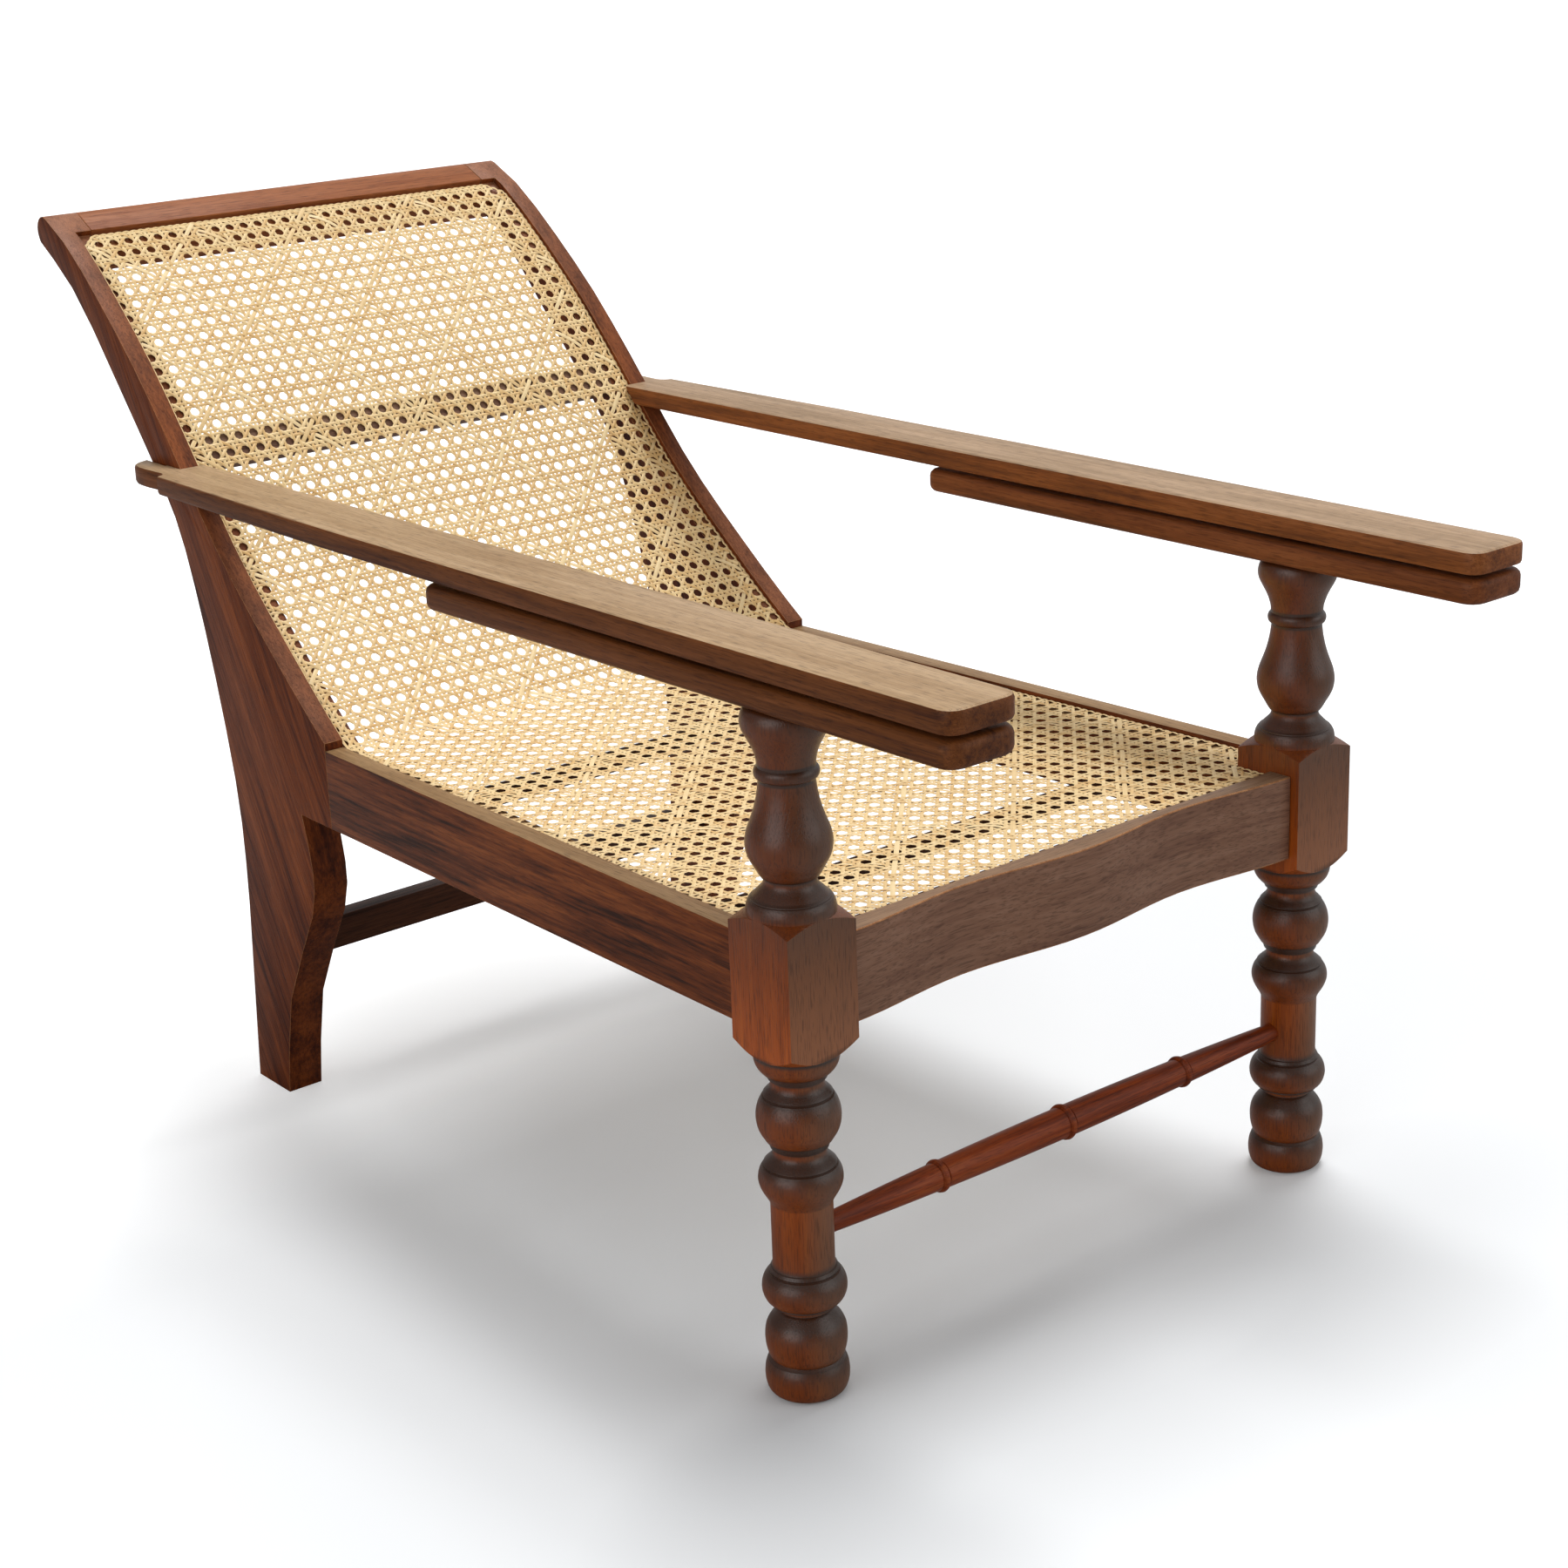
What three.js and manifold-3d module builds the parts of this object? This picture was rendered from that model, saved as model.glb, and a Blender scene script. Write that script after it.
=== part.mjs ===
import * as THREE from 'three';
import { mergeVertices } from 'three/addons/utils/BufferGeometryUtils.js';
import Module from 'manifold-3d';

const wasm = await Module();
wasm.setup();

// A caned planter's chair with arms that hold swing-out leg rests.
// Millimetres. x runs across the chair, y runs back from the front leg axes, z up from the floor.

// Driving dimensions of the whole chair
const legSpacing = 600;
const legStock = 71;
const frameStock = 38;
const seatTop = 399;
const railHeight = 78;
const seatDepth = 678;
const backRun = 507;
const backTop = 860;
const railSetback = 9.5;
const frameSplay = 0.0382;
const armTop = 635;
const armWidth = 72;
const armThickness = 20;
const armOverhang = 219;
const restThickness = 22;
const restReach = 443;
const fit = 0.3;
const cutOverrun = 5;

// Heights that follow from the stack of arm, gap and leg rest over the leg
const restGap = 4;
const armUnderside = armTop - armThickness;
const restUnderside = armUnderside - restGap - restThickness;
const legShoulder = restUnderside - fit;
const railUnderside = seatTop - railHeight;
const legX = legSpacing / 2;
const frameWidthAtLegs = legSpacing + legStock - 2 * railSetback;

// Cane panel: how deep it lies below the frame's face, and the ledge that it is laced to
const caneRecess = 3;
const caneThickness = 3;
const ledgeWidth = 18;
const ledgeDepth = caneRecess + caneThickness + fit;
const faceWidth = frameStock - ledgeWidth;

const walnut = { color: 0x5a3020, roughness: 0.42, metalness: 0 };
const satinTop = { color: 0x8a6244, roughness: 0.38, metalness: 0 };
const straw = { color: 0xe6cd95, roughness: 0.55, metalness: 0 };

const chair = new THREE.Group();

// Joins, cuts and mirrors

function weldedCopy(geometry) {
  const bare = geometry.clone();
  bare.deleteAttribute('normal');
  bare.deleteAttribute('uv');
  return mergeVertices(bare);
}

function solidOf(geometry) {
  const merged = weldedCopy(geometry);
  const corners = merged.index.array;
  const kept = [];
  for (let i = 0; i < corners.length; i += 3) {
    const [a, b, c] = [corners[i], corners[i + 1], corners[i + 2]];
    if (a !== b && b !== c && c !== a) kept.push(a, b, c);
  }
  return new wasm.Manifold(new wasm.Mesh({
    numProp: 3,
    vertProperties: Float32Array.from(merged.attributes.position.array),
    triVerts: Uint32Array.from(kept),
  }));
}

function geometryOf(solid) {
  const mesh = solid.getMesh();
  const geometry = new THREE.BufferGeometry();
  geometry.setAttribute('position', new THREE.BufferAttribute(mesh.vertProperties, 3));
  geometry.setIndex(new THREE.BufferAttribute(mesh.triVerts, 1));
  geometry.computeVertexNormals();
  return geometry;
}

function mirrored(geometry) {
  const copy = geometry.clone();
  copy.scale(-1, 1, 1);
  const corners = copy.index.array;
  for (let i = 0; i < corners.length; i += 3) {
    [corners[i], corners[i + 1]] = [corners[i + 1], corners[i]];
  }
  copy.computeVertexNormals();
  return copy;
}

function mirroredSolid(geometry) {
  return solidOf(mirrored(weldedCopy(geometry)));
}

function addPiece(name, geometry, finish, x = 0, y = 0, z = 0) {
  geometry.translate(-x, -y, -z);
  const piece = new THREE.Mesh(geometry, new THREE.MeshStandardMaterial(finish));
  piece.name = name;
  piece.position.set(x, y, z);
  chair.add(piece);
}

// The right-hand piece is built where it stands, and the left-hand one is its mirror image.
function addPair(name, solid, finish, x = 0, y = 0, z = 0) {
  const right = geometryOf(solid);
  const left = mirrored(right);
  addPiece(`${name}_left`, left, finish, -x, y, z);
  addPiece(`${name}_right`, right, finish, x, y, z);
}

function boxBetween(x0, x1, y0, y1, z0, z1) {
  const geometry = new THREE.BoxGeometry(x1 - x0, y1 - y0, z1 - z0);
  return geometry.translate((x0 + x1) / 2, (y0 + y1) / 2, (z0 + z1) / 2);
}

// An outline drawn in the y-z plane, extruded across the chair from x0 to x1
function extrudeAcross(outline, x0, x1) {
  const geometry = new THREE.ExtrudeGeometry(new THREE.Shape(outline), {
    depth: x1 - x0,
    bevelEnabled: false,
  });
  geometry.applyMatrix4(new THREE.Matrix4().makeBasis(
    new THREE.Vector3(0, 1, 0),
    new THREE.Vector3(0, 0, 1),
    new THREE.Vector3(1, 0, 0),
  ));
  return geometry.translate(x0, 0, 0);
}

function extrudeUp(outline, z0, z1, bevel = 0, bevelSegments = 2) {
  const geometry = new THREE.ExtrudeGeometry(new THREE.Shape(outline), {
    depth: z1 - z0 - 2 * bevel,
    bevelEnabled: bevel > 0,
    bevelThickness: bevel,
    bevelSize: bevel,
    bevelOffset: -bevel,
    bevelSegments,
  });
  return geometry.translate(0, 0, z0 + bevel);
}

function roundCorner(points, cx, cy, radius, fromAngle, toAngle, steps) {
  for (let i = 0; i <= steps; i += 1) {
    const angle = fromAngle + (toAngle - fromAngle) * i / steps;
    points.push(new THREE.Vector2(cx + radius * Math.cos(angle), cy + radius * Math.sin(angle)));
  }
}

// A lathe profile of [radius, height] points, turned about z
function turned(profile, segments) {
  const points = profile.map(([radius, height]) => new THREE.Vector2(radius, height));
  return new THREE.LatheGeometry(points, segments).rotateX(Math.PI / 2);
}

// A lathe profile turned about x
function turnedAcross(profile, segments) {
  return turned(profile, segments).rotateY(Math.PI / 2);
}

// The side frames stand in planes that draw in a little toward the back, with every shoulder
// cut to meet its neighbour squarely, so a shear takes a frame from its own space to its place.
// In a frame's own space x is 0 at its outer face and negative inward.
const frameMatrix = new THREE.Matrix4()
  .makeShear(0, 0, -frameSplay, 0, 0, 0)
  .setPosition(frameWidthAtLegs / 2, 0, 0);

function inFrame(geometry) {
  return geometry.applyMatrix4(frameMatrix);
}

function frameOuterX(y) {
  return frameWidthAtLegs / 2 - frameSplay * y;
}

function frameInnerX(y) {
  return frameOuterX(y) - frameStock;
}

// Outline of the back plank, which is rear leg and back stile in one.
// Shares are of the back's run behind the seat, and of the rise over the seat or over the floor.
const stileFrontShares = [
  [0, 0], [0.136, 0.117], [0.357, 0.332], [0.548, 0.577], [0.686, 0.742], [0.878, 0.926],
  [0.988, 0.996],
];
const plankRearShares = [
  [1.021, 0.969], [0.88, 0.913], [0.71, 0.801], [0.556, 0.691], [0.492, 0.608], [0.435, 0.49],
  [0.391, 0.36], [0.385, 0.25], [0.399, 0.12], [0.413, 0],
];
const footFrontShares = [[0.29, 0], [0.247, 0.127], [0.128, 0.25], [0.11, 0.31], [0.134, 0.373]];
const footSetback = 10;
const backFoot = seatDepth - footSetback;
const backRise = backTop - seatTop;

function splineThrough(points, count) {
  return new THREE.SplineCurve(points).getPoints(count);
}

const stileFrontCurve = new THREE.SplineCurve(stileFrontShares.map(
  ([run, rise]) => new THREE.Vector2(backFoot + run * backRun, seatTop + rise * backRise),
));

function plankPoint([run, height]) {
  return new THREE.Vector2(backFoot + run * backRun, height * backTop);
}

const stileFront = stileFrontCurve.getSpacedPoints(16);

// The stile ends in a round nose, which the top rail carries on across the chair
const noseRadius = 15;
const noseSteps = 6;
const noseCentre = new THREE.Vector2(backFoot + backRun, backTop - noseRadius);
const stileNose = [];
roundCorner(stileNose, noseCentre.x, noseCentre.y, noseRadius,
  Math.PI / 2, -Math.PI / 6, noseSteps);

const plankRear = splineThrough(plankRearShares.map(plankPoint), 20);
const footFront = splineThrough(footFrontShares.map(plankPoint), 8);

const plankOutline = [
  new THREE.Vector2(seatDepth, railUnderside),
  new THREE.Vector2(seatDepth, stileFrontHeight(seatDepth)),
  ...stileFront.filter((point) => point.x > seatDepth + fit),
  ...stileNose,
  ...plankRear,
  ...footFront.slice(0, -1),
  new THREE.Vector2(footFront[footFront.length - 1].x, railUnderside),
];

// Height of the stile's front edge over a place on the floor
function stileFrontHeight(y) {
  const after = stileFront.findIndex((point) => point.x >= y);
  const high = stileFront[after];
  const low = stileFront[after - 1];
  return low.y + (high.y - low.y) * (y - low.x) / (high.x - low.x);
}

// Place on the floor under the stile's front edge at a height
function stileFrontAtHeight(z) {
  const after = stileFront.findIndex((point) => point.y >= z);
  const high = stileFront[after];
  const low = stileFront[after - 1];
  return low.x + (high.x - low.x) * (z - low.y) / (high.y - low.y);
}

// The line that the frame's upper and front edge follows, from the front rail to the top rail
const topRailFace = 29;
const caneFrontY = -3;
const edgeLine = [
  new THREE.Vector2(caneFrontY, seatTop),
  new THREE.Vector2(backFoot, seatTop),
  ...stileFront.slice(1),
];

function lineLength(line) {
  return line.slice(1).reduce((sum, point, i) => sum + point.distanceTo(line[i]), 0);
}

// Point and upward normal at a distance along the edge line
function edgeAt(distance) {
  let left = distance;
  let i = 0;
  while (i < edgeLine.length - 2 && left > edgeLine[i].distanceTo(edgeLine[i + 1])) {
    left -= edgeLine[i].distanceTo(edgeLine[i + 1]);
    i += 1;
  }
  const direction = edgeLine[i + 1].clone().sub(edgeLine[i]).normalize();
  const point = edgeLine[i].clone().addScaledVector(direction, left);
  return { point, normal: new THREE.Vector2(-direction.y, direction.x) };
}

const caneLength = lineLength(edgeLine) - topRailFace;

// Smoothed normals, so that the offset lines don't fold at the bend of seat and back
const bendReach = 30;

function offsetFromEdge(distance, depth) {
  const before = edgeAt(Math.max(distance - bendReach, 0));
  const here = edgeAt(distance);
  const after = edgeAt(distance + bendReach);
  const normal = before.normal.clone().add(here.normal).add(after.normal).normalize();
  return here.point.clone().addScaledVector(normal, -depth);
}

function stripOutline(distances, shallow, deep) {
  const upper = distances.map((distance) => offsetFromEdge(distance, shallow));
  const lower = distances.map((distance) => offsetFromEdge(distance, deep));
  return [...lower, ...upper.reverse()];
}

// Grid lines along one direction of the cane net: a rim, then a gap and a bar by turns, and a rim
function netLines(count, length, rim) {
  const cell = (length - 2 * rim) / count;
  const lines = [0];
  for (let i = 0; i < count; i += 1) {
    lines.push(rim + (i + caneBarShare / 2) * cell, rim + (i + 1 - caneBarShare / 2) * cell);
  }
  lines.push(length);
  return lines;
}

// The cane is two nets that meet at the bend of seat and back.
// Every strip along the edge line bends at the nets' own grid lines, so that they nest.
const caneColumns = 8;
const seatRows = 12;
const backRows = 10;
const caneBarShare = 0.36;
const caneBend = backFoot - caneFrontY;

function netLinesBetween(from, to, count) {
  return netLines(count, to - from - 2 * fit, ledgeWidth).map((line) => from + fit + line);
}

const seatLines = netLinesBetween(0, caneBend, seatRows);
const backLines = netLinesBetween(caneBend, caneLength, backRows);
const caneLines = [...seatLines, ...backLines];

// The ledge along the inner edge of side rail and plank, cut as one strip
const ledgeCut = solidOf(inFrame(extrudeAcross(
  stripOutline([-cutOverrun, ...caneLines, caneLength], -2 * cutOverrun, ledgeDepth),
  -frameStock - cutOverrun,
  -faceWidth,
)));

// Tenons: each is a box in the frame's space, and its mortise is the same box let out by the fit
const tenonThickness = 12;
const tenonInset = (frameStock - tenonThickness) / 2;
const tenonShoulder = 14;
const legTenonLength = 25;
const plankTenonLength = 30;
const railEnd = legStock / 2 + fit;

function sideRailTenon(from, to, slack) {
  return inFrame(boxBetween(
    -tenonInset - tenonThickness - slack, -tenonInset + slack,
    from, to,
    railUnderside + tenonShoulder - slack, seatTop - tenonShoulder + slack,
  ));
}

// Turned front leg: [radius share, height share, how the outline reaches this point]
const lowerTurningShares = [
  [0.676, 0, 'line'], [0.975, 0.056, 'swell'], [0.88, 0.11, 'swell'], [0.955, 0.162, 'swell'],
  [0.61, 0.232, 'swell'], [0.61, 0.238, 'line'], [0.98, 0.304, 'swell'], [0.72, 0.368, 'ogee'],
  [0.72, 0.54, 'line'], [0.975, 0.612, 'ogee'], [0.6, 0.687, 'ogee'], [0.97, 0.79, 'swell'],
  [0.77, 0.84, 'swell'], [0.58, 0.879, 'cove'], [0.95, 0.94, 'ogee'], [0.985, 0.96, 'line'],
];
const upperTurningShares = [
  [0.985, 0.04, 'line'], [0.965, 0.075, 'line'], [0.6, 0.195, 'ogee'], [0.6, 0.207, 'line'],
  [0.68, 0.222, 'line'], [0.845, 0.27, 'line'], [0.97, 0.365, 'swell'], [0.635, 0.655, 'ogee'],
  [0.725, 0.695, 'swell'], [0.655, 0.735, 'swell'], [0.965, 0.9, 'ogee'], [0.965, 0.965, 'line'],
  [0.89, 1, 'swell'],
];
const blockRise = 14;
const blockDrop = 8;
const blockTop = seatTop + blockRise;
const blockUnderside = railUnderside - blockDrop;
const legSegments = 20;
const swellSteps = 3;
const ogeeSteps = 5;
const spindleRadius = 15;
const armTenonRadius = 11;
const armTenonLength = 14;

function turningPoints(shares, radius, base, height, start) {
  const points = [];
  let last = start;
  for (const [radiusShare, heightShare, reach] of shares) {
    const next = [radiusShare * radius, base + heightShare * height];
    const steps = reach === 'line' ? 1 : reach === 'ogee' ? ogeeSteps : swellSteps;
    const outward = next[0] > last[0];
    for (let i = 1; i <= steps; i += 1) {
      const angle = (Math.PI / 2) * i / steps;
      let radial = i / steps;
      let axial = i / steps;
      if (reach === 'ogee') radial = (1 - Math.cos(2 * angle)) / 2;
      if (reach === 'swell' && outward) [radial, axial] = [Math.sin(angle), 1 - Math.cos(angle)];
      if (reach === 'swell' && !outward) [radial, axial] = [1 - Math.cos(angle), Math.sin(angle)];
      if (reach === 'cove') [radial, axial] = [Math.sin(angle), 1 - Math.cos(angle)];
      points.push([
        last[0] + (next[0] - last[0]) * radial,
        last[1] + (next[1] - last[1]) * axial,
      ]);
    }
    last = next;
  }
  return points;
}

function frontLeg() {
  const half = legStock / 2;
  const cornerRadius = legStock / Math.SQRT2 / Math.cos(Math.PI / legSegments) + fit;
  const upperHeight = legShoulder - blockTop;
  const profile = [
    [0, 0],
    ...turningPoints(lowerTurningShares, half, 0, blockUnderside, [0, 0]),
    [cornerRadius, blockUnderside],
    [cornerRadius, blockTop],
    ...turningPoints(upperTurningShares, half, blockTop, upperHeight, [cornerRadius, blockTop]),
    [spindleRadius, legShoulder],
    [spindleRadius, armUnderside - fit],
    [armTenonRadius, armUnderside - fit],
    [armTenonRadius, armUnderside + armTenonLength],
    [0, armUnderside + armTenonLength],
  ];
  const square = boxBetween(-half, half, -half, half, -cutOverrun, armTop + cutOverrun);
  const blank = solidOf(turned(profile, legSegments).translate(legX, 0, 0));
  return blank.intersect(solidOf(square.translate(legX, 0, 0)))
    .subtract(solidOf(sideRailTenon(legStock / 2 - legTenonLength - fit, railEnd + cutOverrun, fit)))
    .subtract(solidOf(frontRailTenon(fit)))
    .subtract(solidOf(stretcherTenon(fit)));
}

// Front rail: its face runs in a shallow double curve between the two leg blocks
const frontRailFaceY = -27;
const frontRailWave = 12;
const frontRailSteps = 28;
const frontTenonDepth = 25;
const frontTenonY = -20;

function frontRailTenon(slack) {
  return boxBetween(
    legX - legStock / 2 - cutOverrun, legX - legStock / 2 + frontTenonDepth + slack,
    frontTenonY - slack, frontTenonY + tenonThickness + slack,
    railUnderside + tenonShoulder - slack, seatTop - tenonShoulder + slack,
  );
}

function frontRail() {
  const half = legX - legStock / 2 - fit;
  const outline = [];
  for (let i = 0; i <= frontRailSteps; i += 1) {
    const x = half * (2 * i / frontRailSteps - 1);
    const wave = Math.sin(Math.PI * x / half) ** 2;
    outline.push(new THREE.Vector2(x, frontRailFaceY + frontRailWave * wave));
  }
  const rearY = frontRailFaceY + frameStock;
  outline.push(new THREE.Vector2(half, rearY), new THREE.Vector2(-half, rearY));
  const ledge = boxBetween(
    -legSpacing, legSpacing,
    caneFrontY, rearY + cutOverrun,
    seatTop - ledgeDepth, seatTop + cutOverrun,
  );
  const tenon = frontRailTenon(0);
  return solidOf(extrudeUp(outline, railUnderside, seatTop))
    .subtract(solidOf(ledge))
    .add(solidOf(tenon))
    .add(mirroredSolid(tenon));
}

// Side rail between the leg's block and the back plank
function sideRail() {
  const rail = solidOf(inFrame(boxBetween(
    -frameStock, 0,
    0, seatDepth - fit,
    railUnderside, seatTop,
  )));
  const block = boxBetween(
    legX - legStock, legX + legStock,
    -legStock, railEnd,
    railUnderside - cutOverrun, seatTop + cutOverrun,
  );
  return rail
    .subtract(solidOf(block))
    .subtract(ledgeCut)
    .add(solidOf(sideRailTenon(legStock / 2 - legTenonLength, railEnd + cutOverrun, 0)))
    .add(solidOf(sideRailTenon(seatDepth - cutOverrun, seatDepth + plankTenonLength, 0)))
    .subtract(rodHole(seatRodFrontY))
    .subtract(rodHole(seatRodRearY));
}

// Two turned rods tie the side rails together below the cane
const seatRodRadius = 10.5;
const rodTenonRadius = 8;
const rodTenonLength = 14;
const seatRodFrontY = 156;
const rearRodSetback = 128;
const seatRodRearY = seatDepth - rearRodSetback;
const seatRodZ = seatTop - railHeight / 2;
const rodSegments = 16;

function rodHole(y) {
  const end = frameInnerX(y) + rodTenonLength + fit;
  const profile = [
    [0, end - 2 * rodTenonLength], [rodTenonRadius + fit, end - 2 * rodTenonLength],
    [rodTenonRadius + fit, end], [0, end],
  ];
  return solidOf(turnedAcross(profile, rodSegments).translate(0, y, seatRodZ));
}

function seatRod(y) {
  const shoulder = frameInnerX(y) - frameSplay * seatRodRadius - fit;
  const end = frameInnerX(y) + rodTenonLength;
  const profile = [
    [0, -end], [rodTenonRadius, -end], [rodTenonRadius, -shoulder], [seatRodRadius, -shoulder],
    [seatRodRadius, shoulder], [rodTenonRadius, shoulder], [rodTenonRadius, end], [0, end],
  ];
  return turnedAcross(profile, rodSegments).translate(0, y, seatRodZ);
}

// Cross bars between the planks, each a rectangle with a stub tenon at both ends
const stretcherWidth = 22;
const stretcherHeight = 34;
const rearStretcherShare = 0.296;
const rearStretcherY = backFoot + rearStretcherShare * backRun;
const rearStretcherZ = 159;
const backRailWidth = 32;
const backRailDepth = 18;
const backRailShare = 0.535;
const crossTenonThickness = 10;
const crossTenonLength = 18;
const crossTenonShoulder = 5;

function crossBar(width, height, slack, reach) {
  return boxBetween(
    -reach, reach,
    -width / 2 - slack, width / 2 + slack,
    -height / 2 - slack, height / 2 + slack,
  );
}

function crossTenons(height, slack, y) {
  const reach = frameInnerX(y) + crossTenonLength + slack;
  return crossBar(crossTenonThickness, height - 2 * crossTenonShoulder, slack, reach);
}

// The ends of every bar follow the splay of the planks
function trimmedToPlanks(solid) {
  const reach = 2 * backTop;
  const outside = inFrame(boxBetween(
    -frameStock - fit, legSpacing, -reach, reach, -reach, reach,
  ));
  return solid.subtract(solidOf(outside)).subtract(mirroredSolid(outside));
}

function rearStretcherAt(geometry) {
  return geometry.translate(0, rearStretcherY, rearStretcherZ);
}

const backRailPlace = stileFrontCurve.getPointAt(backRailShare);
const backRailTangent = stileFrontCurve.getTangentAt(backRailShare);
const backRailSlope = Math.atan2(backRailTangent.y, backRailTangent.x);
const backRailOffset = ledgeDepth + fit + backRailDepth / 2;

function backRailAt(geometry) {
  return geometry
    .rotateX(backRailSlope - Math.PI / 2)
    .translate(
      0,
      backRailPlace.x + Math.sin(backRailSlope) * backRailOffset,
      backRailPlace.y - Math.cos(backRailSlope) * backRailOffset,
    );
}

function rearStretcher() {
  const bar = rearStretcherAt(crossBar(stretcherWidth, stretcherHeight, 0, legSpacing));
  return trimmedToPlanks(solidOf(bar))
    .add(solidOf(rearStretcherAt(crossTenons(stretcherHeight, 0, rearStretcherY))));
}

function backRail() {
  const bar = backRailAt(crossBar(backRailDepth, backRailWidth, 0, legSpacing));
  return trimmedToPlanks(solidOf(bar))
    .add(solidOf(backRailAt(crossTenons(backRailWidth, 0, backRailPlace.x))));
}

// Top rail: the same section as the tip of the stiles, so that the frame's end is one round nose
const topTenonHeight = 16;
const topLedgeWidth = 28;

function topRailTenon(slack) {
  const reach = frameInnerX(noseCentre.x) + crossTenonLength + slack;
  return crossBar(crossTenonThickness, topTenonHeight, slack, reach)
    .translate(0, noseCentre.x, noseCentre.y);
}

function topRail() {
  const half = legSpacing;
  const start = caneLength - topLedgeWidth;
  const ledge = stripOutline([start - ledgeWidth, caneLength], -2 * cutOverrun, ledgeDepth);
  const above = offsetFromEdge(start, -2 * frameStock);
  const below = offsetFromEdge(start, 2 * frameStock);
  const lower = [
    above,
    new THREE.Vector2(0, above.y),
    new THREE.Vector2(0, -cutOverrun),
    new THREE.Vector2(below.x, -cutOverrun),
    below,
  ];
  const section = solidOf(extrudeAcross(plankOutline, -half, half))
    .subtract(solidOf(extrudeAcross(lower, -half, half)))
    .subtract(solidOf(extrudeAcross(ledge, -half, half)));
  return trimmedToPlanks(section).add(solidOf(topRailTenon(0)));
}

// Back plank, with the mortises for every piece that enters it
function backPlank() {
  const blank = solidOf(inFrame(extrudeAcross(plankOutline, -frameStock, 0)));
  const slackLength = seatDepth + plankTenonLength + fit;
  return blank
    .subtract(ledgeCut)
    .subtract(solidOf(sideRailTenon(seatDepth - cutOverrun, slackLength, fit)))
    .subtract(solidOf(rearStretcherAt(crossTenons(stretcherHeight, fit, rearStretcherY))))
    .subtract(solidOf(backRailAt(crossTenons(backRailWidth, fit, backRailPlace.x))))
    .subtract(solidOf(topRailTenon(fit)))
    .subtract(armDowel(fit));
}

// Turned front stretcher: slim at the legs, full in the middle, with three ring beads
const frontStretcherZ = 140;
const stretcherEndRadius = 8;
const stretcherMidRadius = 14;
const stretcherTenonRadius = 6;
const stretcherTenonLength = 14;
const ringSpacing = 150;
const ringHalfWidth = 4;
const ringHeight = 2.2;
const stretcherSegments = 16;
const columnShare = 0.72;
const columnRadius = columnShare * legStock / 2;
const stretcherHalf = legX - columnRadius - fit;

function stretcherTenon(slack) {
  const root = stretcherHalf - cutOverrun;
  const end = stretcherHalf + stretcherTenonLength + slack;
  const radius = stretcherTenonRadius + slack;
  const profile = [[0, root], [radius, root], [radius, end], [0, end]];
  return turnedAcross(profile, stretcherSegments).translate(0, 0, frontStretcherZ);
}

function frontStretcher() {
  const bodyRadius = (x) => {
    const share = 1 - (x / stretcherHalf) ** 2;
    return stretcherEndRadius + (stretcherMidRadius - stretcherEndRadius) * share;
  };
  const places = new Set([-stretcherHalf, stretcherHalf]);
  for (let i = 1; i < 12; i += 1) places.add(stretcherHalf * (2 * i / 12 - 1));
  const ringPoints = [];
  for (const centre of [-ringSpacing, 0, ringSpacing]) {
    for (const share of [-1, -0.6, 0, 0.6, 1]) {
      const x = centre + share * ringHalfWidth;
      ringPoints.push([x, bodyRadius(centre) + ringHeight * Math.sqrt(1 - share * share)]);
    }
    for (const x of places) {
      if (Math.abs(x - centre) < 2 * ringHalfWidth) places.delete(x);
    }
  }
  const body = [...places].map((x) => [x, bodyRadius(x)]);
  const along = [...body, ...ringPoints].sort((a, b) => a[0] - b[0]);
  const profile = [
    [0, -stretcherHalf],
    ...along.map(([x, radius]) => [radius, x]),
    [0, stretcherHalf],
  ];
  const tenon = stretcherTenon(0);
  return solidOf(turnedAcross(profile, stretcherSegments).translate(0, 0, frontStretcherZ))
    .add(solidOf(tenon))
    .add(mirroredSolid(tenon));
}

// Arm: a flat board that stops against the stile, with a tongue that runs past its outer face
const armInset = 38;
const armInnerX = legX - armInset;
const armEase = 3.5;
const armCorner = 15;
const tongueLength = 70;
const tongueWidth = 18;
const tongueNotch = 10;
const tongueStep = 34;
const armNarrowing = 12;
const armSplineSteps = 8;
const cornerSteps = 4;
const lobeBulge = 1;
const armDowelRadius = 4;
const armDowelHalf = 11;
const armDowelSetback = 29;
const armStop = stileFrontAtHeight(armTop);
const armReach = armStop + tongueLength;
const armDowelY = armStop + armDowelSetback;

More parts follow.
